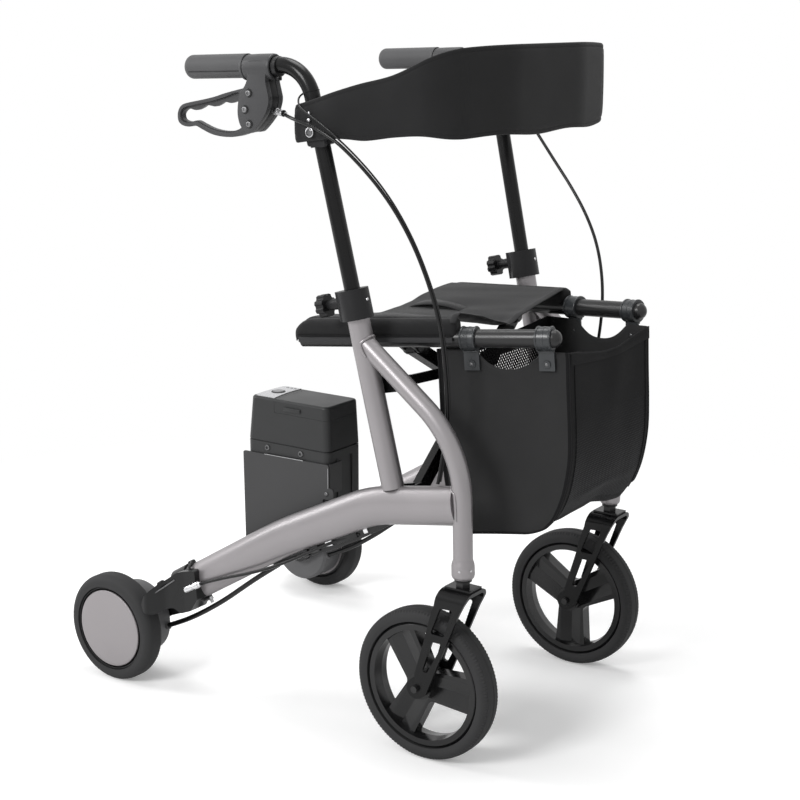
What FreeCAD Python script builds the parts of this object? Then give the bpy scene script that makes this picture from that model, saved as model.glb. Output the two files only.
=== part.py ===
import FreeCAD, Part
import math
import os

# Electrically assisted four-wheeled rollator that folds sideways on a cross frame.
# Millimetres. +X is the way it rolls, +Y the user's left, +Z up. The origin is on the
# floor, in the middle of the length and between the two side frames.
# Left-hand pieces are modelled and mirrored to the right.

V = FreeCAD.Vector
ORIGIN = V(0, 0, 0)
X_AXIS = V(1, 0, 0)
Y_AXIS = V(0, 1, 0)
Z_AXIS = V(0, 0, 1)

# ---------------------------------------------------------------- clearances
RUN = 0.06          # radial clearance of a turning or sliding fit
GAP = 0.3           # space between soft or loose neighbours

# ---------------------------------------------------------------- side frames
FRAME_HALF_Y = 210.0        # side plane to centre plane, at CAMBER_Z
CAMBER_Z = 300.0
CAMBER = 1.8                # side frames lean outward at the top, degrees
POST_TILT = 12.8            # posts lean back, degrees
POST_R = 15.5
POST_BORE_R = 13.0
POST_TOP_Z = 631.0
POST_TOP_X = 128.0          # post axis at POST_TOP_Z
POST_FOOT_Z = 384.0
TUBE_R = 13.5               # curved front tube
TUBE_WALL = 2.5
BEAM_HALF_H = 27.5
BEAM_HALF_W = 17.0
BEAM_WALL = 3.0
BEAM_PATH = [(-197.5, 163), (-15, 273), (150, 353), (290, 377)]
BEAM_BENDS = [800, 220]
TUBE_PATH = [(140, 585), (297.5, 460), (297.5, 276)]
TUBE_BEND = 155.0

# ---------------------------------------------------------------- casters
CASTER_R = 110.0
CASTER_TYRE_W = 35.0
CASTER_TYRE_H = 18.0        # section heights
CASTER_RIM_H = 12.0
CASTER_TYRE_INNER_R = CASTER_R - CASTER_TYRE_H
CASTER_RIM_INNER_R = CASTER_TYRE_INNER_R - CASTER_RIM_H
CASTER_RIM_W = 30.0
CASTER_HUB_R = 19.0
CASTER_HUB_W = 38.0
CASTER_AXLE_R = 4.0
CASTER_AXLE_X = 239.0
SPOKE_COUNT = 3
SPOKE_W_RIM = 52.0
SPOKE_W_HUB = 43.0
SPOKE_T = 20.0
SPOKE_VALLEY = 5.0
RIGHT_WHEEL_TURN = 30.0     # the right caster stands turned from the left one
FORK_TOP_Z = 264.0
FORK_PLATE = 6.0
FORK_STEP = 3.0             # raised pad under the nut
FORK_BEND = 16.0            # outside radius of its shoulders
FORK_SHEET = 4.5
FORK_GAP = 47.0             # between the legs
STEM_R = 6.0
STEM_BORE_R = 8.0
STEM_LENGTH = 42.0          # of the bore up the front tube
NUT_H = 8.0

# ---------------------------------------------------------------- rear wheels
REAR_R = 85.0
REAR_TYRE_W = 36.0
REAR_TYRE_H = 18.0
REAR_TYRE_INNER_R = REAR_R - REAR_TYRE_H
REAR_X = -314.0
REAR_WHEEL_Y = FRAME_HALF_Y + 50
REAR_AXLE_R = 7.0
MOTOR_R = REAR_R - 27
ARM_OUTER_Y = FRAME_HALF_Y - 13
ARM_T_REAR = 15.0
FERRULE_R = 3.5
FERRULE_Y = 22.0            # outward from the side plane
FERRULE_TIP = (-162, 177.4)
GLAND_TIP = V(-253.5, 3, 81.5)

# ---------------------------------------------------------------- handles
HANDLE_R = 11.0
HANDLE_TOP_Z = 952.0        # corner of the handle tube
HANDLE_BEND = 52.0
HANDLE_IN_POST = 130.0      # length of handle tube inside the post
GRIP_R = 16.5
GRIP_LENGTH = 108.0
GRIP_FRONT_X = -44.0
GRIP_DROP = 0.035           # the grip falls this much per unit towards its end
COLLAR_R = 22.0
COLLAR_H = 41.0
COLLAR_LAP = 16.0           # collar below the post's top
KNOB_R = 16.0
KNOB_LOBES = 8
KNOB_REACH = 19.0           # boss from the collar's side to the knob
KNOB_SCREW_R = 3.0
LEVER_PIVOT = (-33, HANDLE_TOP_Z - 38.5)
HOUSING_HALF_W = 16.0
LEVER_W = 13.0
ADJUSTER_X = 12.0
ADJUSTER_Y = -4.0
ADJUSTER_Z = HANDLE_TOP_Z - 66

# ---------------------------------------------------------------- fold linkage
LOWER_PIVOT_Y = FRAME_HALF_Y - 40
LOWER_PIVOT_X = 205.0
LOWER_PIVOT_Z = 376.0
UPPER_PIVOT_Y = FRAME_HALF_Y - 67
UPPER_PIVOT_Z = 566.0
ARM_W = 20.0                # in the plane of the cross
ARM_T = 14.0                # along the fold axis
ARM_OFFSET = 7.5            # each arm's middle from the cross plane
PIN_R = 4.0
LUG_T = 3.5
SIDE_PLAY = 0.4             # beside each link, along its pin
STAY_REACH = 80.0           # stay meets the arm this far above the centre pivot
STAY_ROOT_Y = FRAME_HALF_Y - 19.5
STAY_ROOT_Z = 527.0
STAY_W = 14.0
STAY_T = 8.0

# ---------------------------------------------------------------- seat rails
RAIL_R = 12.5
RAIL_TIP = V(391, UPPER_PIVOT_Y - 22.9, UPPER_PIVOT_Z + 35.6)
RAIL_TOE_IN = 0.192         # sideways per unit of X
RAIL_PITCH = 0.081          # rise per unit of X
RAIL_LENGTH = 385.0
SLEEVE_FROM = 146.0         # distances along the rail, from its front tip
SLEEVE_TO = RAIL_LENGTH + 9
SLEEVE_HALF_W = 16.0
SLEEVE_TOP = 30.0
SLEEVE_BOTTOM = -5.0
CLIP_PLACES = [12.0, 119.5]
CLIP_R = 15.8
CLIP_W = 22.0

# ---------------------------------------------------------------- bag, seat, backrest
BAG_REAR_X = 214.0
BAG_FRONT_X = 406.0
BAG_TOP_Z = 582.0
BAG_BOTTOM_Z = 314.0
BAG_WALL = 3.0
BAG_INSET = 3.0             # side panels inboard of the rail axes
BACKREST_T = 6.0
BACKREST_Z = HANDLE_TOP_Z - 80          # middle of its ends
BACKREST_PAD = HANDLE_R + 6.0
CLAMP_HALF_H = 26.0

# ---------------------------------------------------------------- power box
BOX_REAR_X = -93.0
BOX_FRONT_X = 49.0
BOX_OUTER_Y = FRAME_HALF_Y - 23     # these two are on the right-hand side
BOX_INNER_Y = BOX_OUTER_Y - 79
BOX_TOP_Z = 471.6
BOX_SEAM_Z = 407.0
BOX_BOTTOM_Z = 268.0
BOX_LID_H = 20.0
BOX_LID_X = BOX_REAR_X + 45
BOX_DRAFT = 1.5
BOX_PLATE_T = 2.5
BUTTON_R = 8.0
BOX_BOLTS = [(-80, 234), (40, 298)]     # spacers through to the beam


# ================================================================ helpers
def unit(v):
    return V(v).normalize()


def side_points(pairs):
    """(x, z) pairs as points in the plane y = 0."""
    return [V(x, 0, z) for x, z in pairs]


def corner_arc(before, corner, after, radius):
    """The tangent arc that rounds one corner: its start, middle and end."""
    a = unit(before - corner)
    b = unit(after - corner)
    half = a.getAngle(b) / 2
    reach = radius / math.tan(half)
    middle = corner + unit(a + b) * (radius / math.sin(half) - radius)
    return corner + a * reach, middle, corner + b * reach


def path_edges(points, radii):
    """Straight runs joined by tangent arcs; one radius per inner point."""
    edges = []
    start = points[0]
    for i, radius in enumerate(radii):
        a, middle, b = corner_arc(points[i], points[i + 1], points[i + 2], radius)
        edges.append(Part.LineSegment(start, a).toShape())
        edges.append(Part.Arc(a, middle, b).toShape())
        start = b
    edges.append(Part.LineSegment(start, points[-1]).toShape())
    return edges


def outline(points, radii):
    """Closed flat face through the points, each corner rounded by its radius."""
    count = len(points)
    edges = []
    ends = []
    for i in range(count):
        if radii[i] > 0:
            ends.append(corner_arc(points[i - 1], points[i], points[(i + 1) % count], radii[i]))
        else:
            ends.append((points[i], None, points[i]))
    for i in range(count):
        a, middle, b = ends[i]
        if middle is not None:
            edges.append(Part.Arc(a, middle, b).toShape())
        onward = ends[(i + 1) % count][0]
        if (onward - b).Length > 1e-6:
            edges.append(Part.LineSegment(b, onward).toShape())
    return Part.Face(Part.Wire(edges))


def plate(pairs, radii, y_from, y_to):
    """Rounded outline in the side plane, extruded from y_from to y_to."""
    if not isinstance(radii, (list, tuple)):
        radii = [radii] * len(pairs)
    face = outline([V(x, y_from, z) for x, z in pairs], radii)
    return face.extrude(V(0, y_to - y_from, 0))


def aligned(shape, place, direction):
    """Move a shape made about the Z axis so that Z points along direction."""
    moved = shape.copy()
    moved.Placement = FreeCAD.Placement(place, FreeCAD.Rotation(Z_AXIS, direction))
    return moved


def swept_round(points, radii, radius):
    wire = Part.Wire(path_edges(points, radii))
    along = unit(points[1] - points[0])
    ring = Part.Wire(Part.Circle(points[0], along, radius).toShape())
    return wire.makePipeShell([ring], True, False)


def swept_oval(points, radii, half_h, half_w):
    wire = Part.Wire(path_edges(points, radii))
    oval = Part.Ellipse(ORIGIN, half_h, half_w).toShape()
    along = unit(points[1] - points[0])
    turn = math.degrees(math.atan2(along.x, along.z))
    oval.rotate(ORIGIN, Y_AXIS, turn)
    oval.translate(points[0])
    return wire.makePipeShell([Part.Wire(oval)], True, False)


def inward(start, end, sense):
    """Unit normal of one outline edge, to its left for a sense of +1."""
    dx, dz = end[0] - start[0], end[1] - start[1]
    length = math.hypot(dx, dz)
    return -dz / length * sense, dx / length * sense


def inset(pairs, depth):
    """Closed outline moved inward by depth."""
    onward = pairs[1:] + pairs[:1]
    area = sum(a[0] * b[1] - b[0] * a[1] for a, b in zip(pairs, onward))
    sense = 1 if area > 0 else -1
    moved = []
    for i, (x, z) in enumerate(pairs):
        ax, az = inward(pairs[i - 1], (x, z), sense)
        bx, bz = inward((x, z), onward[i], sense)
        reach = depth / (1 + ax * bx + az * bz)
        moved.append((x + (ax + bx) * reach, z + (az + bz) * reach))
    return moved


def raised(pairs):
    """Heights given from the corner of the handle tube made absolute."""
    return [(x, HANDLE_TOP_Z + z) for x, z in pairs]


def rod(radius, start, end):
    return Part.makeCylinder(radius, (end - start).Length, start, end - start)


def turned(profile, centre, axis):
    """Revolve (radius, along) pairs about an axis through centre."""
    ring = [V(r, 0, a) for r, a in profile]
    face = Part.Face(Part.makePolygon(ring + [ring[0]]))
    return aligned(face.revolve(ORIGIN, Z_AXIS, 360), centre, axis)


def rounded_ring(inner_r, outer_r, width, crown, centre, axis):
    """Ring whose outer corners are rounded by crown."""
    half = width / 2
    pts = [V(inner_r, 0, -half), V(outer_r, 0, -half), V(outer_r, 0, half), V(inner_r, 0, half)]
    face = outline(pts, [0, crown, crown, 0])
    return aligned(face.revolve(ORIGIN, Z_AXIS, 360), centre, axis)


def screw_head(radius, height, place, outward):
    """Domed head standing on a face."""
    return turned([(0, -1), (radius, -1), (radius, height * 0.35), (radius * 0.7, height * 0.8), (0, height)],
                  place, outward)


def joined(shapes):
    whole = shapes[0].multiFuse(shapes[1:])
    return whole.removeSplitter()


def group(shapes):
    return Part.makeCompound([s for shape in shapes for s in shape.Solids])


def lean(shape):
    """From the flat side plane to the leaning left side frame."""
    moved = shape.copy()
    moved.translate(V(0, FRAME_HALF_Y, 0))
    moved.rotate(V(0, FRAME_HALF_Y, CAMBER_Z), X_AXIS, -CAMBER)
    return moved


def export(name, shape):
    shape.exportStep("parts/" + name + ".step")
    faces = sum(len(s.Faces) for s in shape.Solids)
    print(name, "solids", len(shape.Solids), "faces", faces, "volume", round(shape.Volume))


def export_pair(name, shape):
    export(name + "_left", shape)
    export(name + "_right", shape.mirror(ORIGIN, Y_AXIS))


def post_x(z):
    """Post and handle axis in the side plane."""
    return POST_TOP_X + (POST_TOP_Z - z) * math.tan(math.radians(POST_TILT))


def post_point(z):
    return V(post_x(z), 0, z)


POST_UP = V(-math.sin(math.radians(POST_TILT)), 0, math.cos(math.radians(POST_TILT)))
POST_ACROSS = V(math.cos(math.radians(POST_TILT)), 0, math.sin(math.radians(POST_TILT)))


# ================================================================ side frame
def beam_end():
    """Rear end of the beam and its outward direction."""
    a, b = side_points(BEAM_PATH)[:2]
    return a, unit(a - b)


def make_side_frame():
    beam = side_points(BEAM_PATH)
    tube = side_points(TUBE_PATH)
    outer = joined([
        swept_oval(beam, BEAM_BENDS, BEAM_HALF_H, BEAM_HALF_W),
        rod(POST_R, post_point(POST_FOOT_Z), post_point(POST_TOP_Z)),
        swept_round(tube, [TUBE_BEND], TUBE_R),
        turned([(5, 0), (TUBE_R - 0.5, 0), (TUBE_R + 1.5, 4), (TUBE_R + 2.2, 12), (TUBE_R + 1.5, 22),
                (TUBE_R - 0.5, 25), (5, 25)], tube[-1], Z_AXIS),
    ])
    hollow = side_points(BEAM_PATH[:-1]) + [V(272, 0, 374)]
    outer = outer.cut(swept_oval(hollow, BEAM_BENDS, BEAM_HALF_H - BEAM_WALL, BEAM_HALF_W - BEAM_WALL))
    bore_foot = post_point(POST_FOOT_Z + BEAM_HALF_H)
    outer = outer.cut(rod(POST_BORE_R, bore_foot, post_point(POST_TOP_Z + 10)))
    stem_foot = caster_stem() + V(0, 0, TUBE_PATH[-1][1] - 5)
    return lean(outer).cut(rod(STEM_BORE_R, stem_foot, stem_foot + V(0, 0, STEM_LENGTH + 5)))


# ================================================================ handle column
def make_collar():
    low = post_point(POST_TOP_Z) - POST_UP * COLLAR_LAP
    seat = post_point(POST_TOP_Z) + POST_UP * GAP
    top = low + POST_UP * COLLAR_H
    hole = screw_point()
    boss = aligned(Part.makeCone(9, 7.5, COLLAR_R + KNOB_REACH), hole, -POST_ACROSS)
    rib = [low + V(0, y, 0) - POST_ACROSS * reach
           for y, reach in ((-9, 10), (9, 10), (9, COLLAR_R + 3.5), (-9, COLLAR_R + 3.5))]
    rib = outline(rib, [0, 0, 3, 3]).extrude(POST_UP * COLLAR_H)
    body = joined([rod(COLLAR_R, low, top), boss, rib])
    body = body.cut(rod(POST_R + RUN, low - POST_UP, seat))
    bush = rod(POST_BORE_R - RUN, seat - POST_UP * 40, seat + POST_UP)
    body = body.fuse(bush)
    body = body.cut(rod(HANDLE_R + RUN, seat - POST_UP * 45, top + POST_UP))
    body = body.cut(rod(2.5, hole + POST_ACROSS * 14, hole + POST_ACROSS * (COLLAR_R + 5)))
    body = body.cut(rod(KNOB_SCREW_R + RUN, hole, hole - POST_ACROSS * (COLLAR_R + KNOB_REACH + 1)))
    return lean(body.removeSplitter())


def screw_point():
    """Where the knob's screw crosses the handle tube's axis, above the post's end."""
    return post_point(POST_TOP_Z) + POST_UP * (COLLAR_H / 2 - COLLAR_LAP + 4)


def make_knob():
    middle = screw_point()
    face = middle - POST_ACROSS * (COLLAR_R + KNOB_REACH + GAP)
    head = rod(KNOB_R, face - POST_ACROSS * 4, face - POST_ACROSS * 17)
    for i in range(KNOB_LOBES):
        angle = 2 * math.pi * i / KNOB_LOBES
        groove = face + (Y_AXIS * math.cos(angle) + POST_UP * math.sin(angle)) * (KNOB_R + 1.8)
        head = head.cut(rod(4.2, groove, groove - POST_ACROSS * 20))
    neck = rod(7, face, face - POST_ACROSS * 5)
    screw = rod(KNOB_SCREW_R, middle - POST_ACROSS * (HANDLE_R + GAP), face - POST_ACROSS)
    return lean(joined([head, neck, screw]))


def handle_path():
    foot = post_point(POST_TOP_Z) - POST_UP * HANDLE_IN_POST
    corner = post_point(HANDLE_TOP_Z)
    rear_x = GRIP_FRONT_X - GRIP_LENGTH + 12
    end = V(rear_x, 0, HANDLE_TOP_Z + (rear_x - corner.x) * GRIP_DROP)
    return [foot, corner, end]


def grip_axis():
    a, b, c = handle_path()
    return unit(c - b)


def grip_point(x):
    corner = handle_path()[1]
    return V(x, 0, HANDLE_TOP_Z + (x - corner.x) * GRIP_DROP)


def make_handle_tube():
    return lean(swept_round(handle_path(), [HANDLE_BEND], HANDLE_R))


def make_grip():
    axis = grip_axis()
    front = grip_point(GRIP_FRONT_X - GAP)
    body = rod(GRIP_R, front, front + axis * GRIP_LENGTH)
    far = [e for e in body.Edges if (e.CenterOfMass - (front + axis * GRIP_LENGTH)).Length < 1]
    body = body.makeFillet(9, far)
    body = body.cut(rod(HANDLE_R + RUN, front - axis, handle_path()[2] + axis * GAP))
    return lean(body)


# Outlines in the side plane, heights from the corner of the handle tube.
HOUSING = raised([(-33, 14.5), (0, 17), (-1, -21), (2, -65), (-8, -97), (-49, -86), (-56, -63), (-55, -43),
                  (-38, -31), (-34, -15)])
HOUSING_ROUND = [5, 5, 20, 20, 8, 12, 14, 10, 8, 10]
HOUSING_SLOT = raised([(-75, -110), (-75, -40), (-50, -19), (-9, -19), (-9, -68), (-24, -110)])
HOUSING_SCREWS = raised([(-41, -61), (-35, -81)])
LEVER_OUTER = raised([(-172, -86), (-174, -63), (-148, -53), (-48, -31), (-20, -29), (-18, -49), (-38, -92),
                      (-79, -100), (-112, -97), (-141, -86), (-158, -92)])
LEVER_OUTER_ROUND = [10, 12, 14, 8, 9, 10, 10, 20, 20, 14, 6]
LEVER_INNER = raised([(-156, -80), (-157, -68), (-145, -63), (-131, -65), (-116, -58), (-101, -60), (-86, -53),
                      (-64, -51), (-62, -84), (-84, -92), (-110, -91), (-128, -84), (-142, -79)])
LEVER_INNER_ROUND = [4, 4, 5, 5, 5, 5, 5, 3, 5, 10, 10, 8, 5]


def make_housing():
    half = HOUSING_HALF_W
    body = plate(HOUSING, HOUSING_ROUND, -half, half)
    ring_a = grip_point(GRIP_FRONT_X)
    ring_b = grip_point(0)
    body = joined([body, rod(GRIP_R, ring_a, ring_b)])
    body = body.cut(plate(HOUSING_SLOT, [0, 0, 0, 4, 8, 0], -LEVER_W / 2 - GAP, LEVER_W / 2 + GAP))
    body = body.cut(rod(HANDLE_R + RUN, ring_a + grip_axis() * 12, ring_b - grip_axis() * 12))
    px, pz = LEVER_PIVOT
    parts = [body, rod(3.5, V(px, -half, pz), V(px, half, pz))]
    for side in (-1, 1):
        parts.append(screw_head(5.5, 2.6, V(px, side * half, pz), Y_AXIS * side))
        for x, z in HOUSING_SCREWS:
            parts.append(screw_head(5.5, 2.6, V(x, side * half, z), Y_AXIS * side))
    parts.append(rod(3.4, V(-6, ADJUSTER_Y, ADJUSTER_Z + 3), V(ADJUSTER_X, ADJUSTER_Y, ADJUSTER_Z)))
    return lean(joined(parts))


def make_lever():
    half = LEVER_W / 2
    body = plate(LEVER_OUTER, LEVER_OUTER_ROUND, -half, half)
    body = body.cut(plate(LEVER_INNER, LEVER_INNER_ROUND, -half - 1, half + 1))
    px, pz = LEVER_PIVOT
    body = body.cut(rod(3.5 + RUN, V(px, -half - 1, pz), V(px, half + 1, pz)))
    return lean(body)


def make_backrest_clamp():
    low_z = BACKREST_Z - CLAMP_HALF_H
    high_z = BACKREST_Z + CLAMP_HALF_H
    low = post_point(low_z)
    high = post_point(high_z)
    body = rod(HANDLE_R + 5, low, high)
    pad = plate([(post_x(low_z) - 12, low_z), (post_x(low_z) + 18, low_z), (post_x(high_z) + 18, high_z),
                 (post_x(high_z) - 12, high_z)], 4, HANDLE_R + 1, BACKREST_PAD)
    body = joined([body, pad])
    body = body.cut(rod(HANDLE_R + RUN, low - POST_UP * 2, high + POST_UP * 2))
    return lean(body)


# ================================================================ casters
def caster_y():
    """Where the leaning front tube ends, which carries the swivel."""
    return FRAME_HALF_Y + (TUBE_PATH[-1][1] - CAMBER_Z) * math.tan(math.radians(CAMBER))


def caster_stem():
    return V(TUBE_PATH[-1][0], caster_y(), 0)


def caster_centre():
    return V(CASTER_AXLE_X, caster_y(), CASTER_R)


def fork_side():
    """Side view of the fork: a wide top, legs that taper back to the axle, round feet."""
    x = TUBE_PATH[-1][0]
    ax = CASTER_AXLE_X
    top = FORK_TOP_Z
    legs = [(x - 24, top), (x + 24, top), (x + 20, top - 14), (x + 10, top - 34), (ax + 15, CASTER_R - 9),
            (ax - 7, CASTER_R - 9), (ax - 1, CASTER_R + 25), (ax + 15.4, CASTER_R + 80), (x - 36, top - 45.6),
            (x - 29, top - 25)]
    legs = plate(legs, [3, 3, 10, 20, 8, 8, 10, 40, 20, 10], -60, 60)
    whole = joined([legs, rod(15, V(ax, -60, CASTER_R), V(ax, 60, CASTER_R))])
    window = [(x - 19, top - 28), (x + 1, top - 27), (ax + 45.5, CASTER_R + 86), (ax + 24, CASTER_R + 86.5)]
    slot = [(ax + 26.5, CASTER_R + 75), (ax + 44, CASTER_R + 75), (ax + 19, CASTER_R + 28),
            (ax + 10, CASTER_R + 26.5)]
    return whole.cut(plate(window, 2.5, -61, 61)).cut(plate(slot, 3.2, -61, 61))


def fork_arch(half, top, bend):
    """Block with two rounded upper edges, along X."""
    x = TUBE_PATH[-1][0] - 90
    pts = [V(x, -half, 60), V(x, half, 60), V(x, half, top), V(x, -half, top)]
    return outline(pts, [0, 0, bend, bend]).extrude(V(130, 0, 0))


def make_fork():
    """Strap bent over the wheel, with a raised pad under the nut and a dust ring above it."""
    x = TUBE_PATH[-1][0]
    ax = CASTER_AXLE_X
    inner = FORK_GAP / 2
    outer = inner + FORK_SHEET
    strap_z = FORK_TOP_Z - FORK_STEP
    strap = fork_arch(outer, strap_z, FORK_BEND)
    strap = strap.cut(fork_arch(inner, strap_z - FORK_PLATE, FORK_BEND - FORK_SHEET))
    pad = Part.makeBox(42, 28, FORK_STEP + 1, V(x - 21, -14, strap_z - 1))
    fork = joined([strap.common(fork_side()), pad])
    fork = fork.cut(rod(CASTER_AXLE_R + RUN, V(ax, -outer - 1, CASTER_R), V(ax, outer + 1, CASTER_R)))
    fork = fork.cut(rod(STEM_R + RUN, V(x, 0, FORK_TOP_Z - 20), V(x, 0, FORK_TOP_Z + 5)))
    low = V(x, 0, FORK_TOP_Z + NUT_H + RUN)
    high = V(x, 0, TUBE_PATH[-1][1] - 0.7)
    ring = rod(TUBE_R - 1.5, low, high).cut(rod(STEM_BORE_R, low - Z_AXIS, high + Z_AXIS))
    whole = group([fork, ring])
    whole.translate(V(0, caster_y(), 0))
    return whole


def hexagon(radius, low, high, centre):
    """Six-sided prism about a vertical axis."""
    pts = [centre + V(radius * math.cos(math.radians(60 * i)), radius * math.sin(math.radians(60 * i)), low)
           for i in range(7)]
    return Part.Face(Part.makePolygon(pts)).extrude(V(0, 0, high - low))


def make_caster_bolts():
    """Swivel bolt with its nut, and the axle."""
    stem = caster_stem()
    under = FORK_TOP_Z - FORK_STEP - FORK_PLATE - GAP / 10
    shoulder = FORK_TOP_Z + NUT_H
    stem_end = TUBE_PATH[-1][1] + STEM_LENGTH - 3
    bolt = turned([(0, under - 5), (9, under - 5), (9, under), (STEM_R, under), (STEM_R, shoulder - 1),
                   (STEM_BORE_R - RUN, shoulder - 1), (STEM_BORE_R - RUN, stem_end),
                    (0, stem_end)], stem, Z_AXIS)
    bolt = joined([bolt, hexagon(10.5, FORK_TOP_Z, shoulder, stem)])
    half = FORK_GAP / 2 + FORK_SHEET
    head = 5.0
    axle = turned([(0, -half - head), (head, -half - head), (head, -half), (CASTER_AXLE_R, -half),
                   (CASTER_AXLE_R, half), (head, half), (head, half + head), (0, half + head)],
                  caster_centre(), Y_AXIS)
    return group([bolt, axle])


def window_space(angle):
    """Three-cornered space between two spokes, turned to an angle from upright."""
    middle = math.radians(180 / SPOKE_COUNT)
    reach = CASTER_R
    slope = (SPOKE_W_RIM - SPOKE_W_HUB) / 2 / (CASTER_RIM_INNER_R - CASTER_HUB_R)
    near = SPOKE_W_HUB / 2 / math.sin(middle)
    half_w = SPOKE_W_HUB / 2 + slope * (reach - CASTER_HUB_R)
    far_x = reach * math.sin(middle) - half_w * math.cos(middle)
    far_z = reach * math.cos(middle) + half_w * math.sin(middle)
    space = plate([(0, near), (far_x, far_z), (far_x, reach + 10), (-far_x, reach + 10), (-far_x, far_z)],
                  [9, 0, 0, 0, 0], -SPOKE_T, SPOKE_T)
    space.rotate(ORIGIN, Y_AXIS, angle)
    return space


def valley(angle, side):
    """Shallow groove with sloping sides down the middle of a spoke."""
    face = side * SPOKE_T / 2
    half_w = SPOKE_W_HUB / 2 - 2
    pts = [V(-half_w, face + side * 0.5, 0), V(half_w, face + side * 0.5, 0),
           V(0, face - side * SPOKE_VALLEY, 0)]
    wedge = Part.Face(Part.makePolygon(pts + [pts[0]])).extrude(V(0, 0, CASTER_TYRE_INNER_R))
    wedge.rotate(ORIGIN, Y_AXIS, angle)
    return wedge


def make_caster_wheel(turn):
    """Rim, hub and the web between them, its windows turned by an angle."""
    half = CASTER_RIM_W / 2
    rim = turned([(CASTER_RIM_INNER_R, -half), (CASTER_TYRE_INNER_R - 4, -half),
                  (CASTER_TYRE_INNER_R, -half + 4), (CASTER_TYRE_INNER_R, half - 4),
                  (CASTER_TYRE_INNER_R - 4, half), (CASTER_RIM_INNER_R, half),
                  (CASTER_RIM_INNER_R - 2, 0)], ORIGIN, Y_AXIS)
    hub = rod(CASTER_HUB_R, V(0, -CASTER_HUB_W / 2, 0), V(0, CASTER_HUB_W / 2, 0))
    web = rod(CASTER_RIM_INNER_R + 4, V(0, -SPOKE_T / 2, 0), V(0, SPOKE_T / 2, 0))
    step = 360 / SPOKE_COUNT
    for i in range(SPOKE_COUNT):
        web = web.cut(window_space(turn + step * i))
        for side in (-1, 1):
            web = web.cut(valley(turn + step * (i + 0.5), side))
    wheel = joined([rim, hub, web])
    wheel = wheel.cut(rod(CASTER_AXLE_R + RUN, V(0, -CASTER_HUB_W, 0), V(0, CASTER_HUB_W, 0)))
    wheel.translate(caster_centre())
    return wheel


def make_caster_tyre():
    return rounded_ring(CASTER_TYRE_INNER_R, CASTER_R, CASTER_TYRE_W, 11, caster_centre(), Y_AXIS)


# ================================================================ rear wheels
# (x, outward from the side plane, z) of the motor cable
MOTOR_ROUTE = [(GLAND_TIP.x, GLAND_TIP.y, GLAND_TIP.z), (-223, 1, 95), (-186, -1, 116), (-153, -3, 137.5),
               (-130, -5, 154), (-101, -5, 176), (-66, -5, 202), (-31, -5, 226)]


def rear_centre(y):
    return V(REAR_X, y, REAR_R)


BRAKE_SIDE = [(-168, 150), (-172, 196), (-200, 190), (-222, 172), (-236, 154), (-241, 140), (-236, 129),
              (-226, 124), (-207, 134), (-196, 124), (-180, 130)]
BRAKE_SIDE_ROUND = [4, 5, 20, 12, 8, 6, 6, 6, 8, 5, 5]
# (x, outward from the side plane) of the brake arm in plan
BRAKE_PLAN = [(-150, -10), (-160, 21), (-190, 27), (-215, 40), (-232, 69), (-262, 69), (-262, -10)]


def make_brake_arm():
    """Arm from the beam's end out over the tyre, hollowed to the tyre's round."""
    tall = [V(x, FRAME_HALF_Y + out, 100) for x, out in BRAKE_PLAN]
    plan = outline(tall, [0, 6, 10, 16, 5, 0, 0]).extrude(V(0, 0, 110))
    arm = plate(BRAKE_SIDE, BRAKE_SIDE_ROUND, FRAME_HALF_Y - 12, FRAME_HALF_Y + 72).common(plan)
    inner = REAR_WHEEL_Y - REAR_TYRE_W / 2 - 3
    return arm.cut(rod(REAR_R + 2.5, rear_centre(inner), rear_centre(inner + REAR_TYRE_W + 10)))


def make_rear_bracket():
    end, back = beam_end()
    turn = math.degrees(math.atan2(back.x, back.z))
    oval = Part.Ellipse(ORIGIN, BEAM_HALF_H + 4, BEAM_HALF_W + 4).toShape()
    oval.rotate(ORIGIN, Y_AXIS, turn)
    oval.translate(end - back * 5)
    cap = lean(Part.Face(Part.Wire(oval)).extrude(back * 33))
    inner = ARM_OUTER_Y - ARM_T_REAR
    x, z = REAR_X, REAR_R
    web = plate([(end.x + 1.5, end.z + 27), (end.x - 34.5, end.z + 9), (x + 52, z + 65), (x + 22, z + 37),
                 (x + 12, z + 22), (x - 18, z + 14), (x - 18, z - 16), (x + 14, z - 20), (x + 52, z + 7),
                 (end.x - 14.5, end.z - 51), (end.x + 15.5, end.z - 27)],
                [4, 20, 20, 10, 10, 14, 14, 14, 20, 20, 6], inner, ARM_OUTER_Y)
    ferrule = lean(rod(FERRULE_R, V(-189, FERRULE_Y, 162.2), V(FERRULE_TIP[0], FERRULE_Y, FERRULE_TIP[1])))
    axle = rod(REAR_AXLE_R, rear_centre(inner - 8), rear_centre(REAR_WHEEL_Y + REAR_TYRE_W / 2 - 6))
    nut = rod(13, rear_centre(inner - 6), rear_centre(inner))
    beam = swept_oval(side_points(BEAM_PATH), BEAM_BENDS, BEAM_HALF_H + RUN, BEAM_HALF_W + RUN)
    return joined([cap, web, make_brake_arm(), ferrule, axle, nut]).cut(lean(beam))


def make_hub_motor():
    """Fixed inner cover of the hub motor, round the axle, with its cable gland."""
    y_in = ARM_OUTER_Y
    y_out = REAR_WHEEL_Y - REAR_TYRE_W / 2 - 1
    body = turned([(REAR_AXLE_R + RUN, y_in), (MOTOR_R - 4, y_in), (MOTOR_R, y_in + 4), (MOTOR_R, y_out),
                   (REAR_AXLE_R + RUN, y_out)], rear_centre(0), Y_AXIS)
    along = unit(V(*MOTOR_ROUTE[1]) - GLAND_TIP)
    gland = lean(rod(6, GLAND_TIP - along * 14, GLAND_TIP - along * GAP))
    return joined([body, gland])


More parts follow.
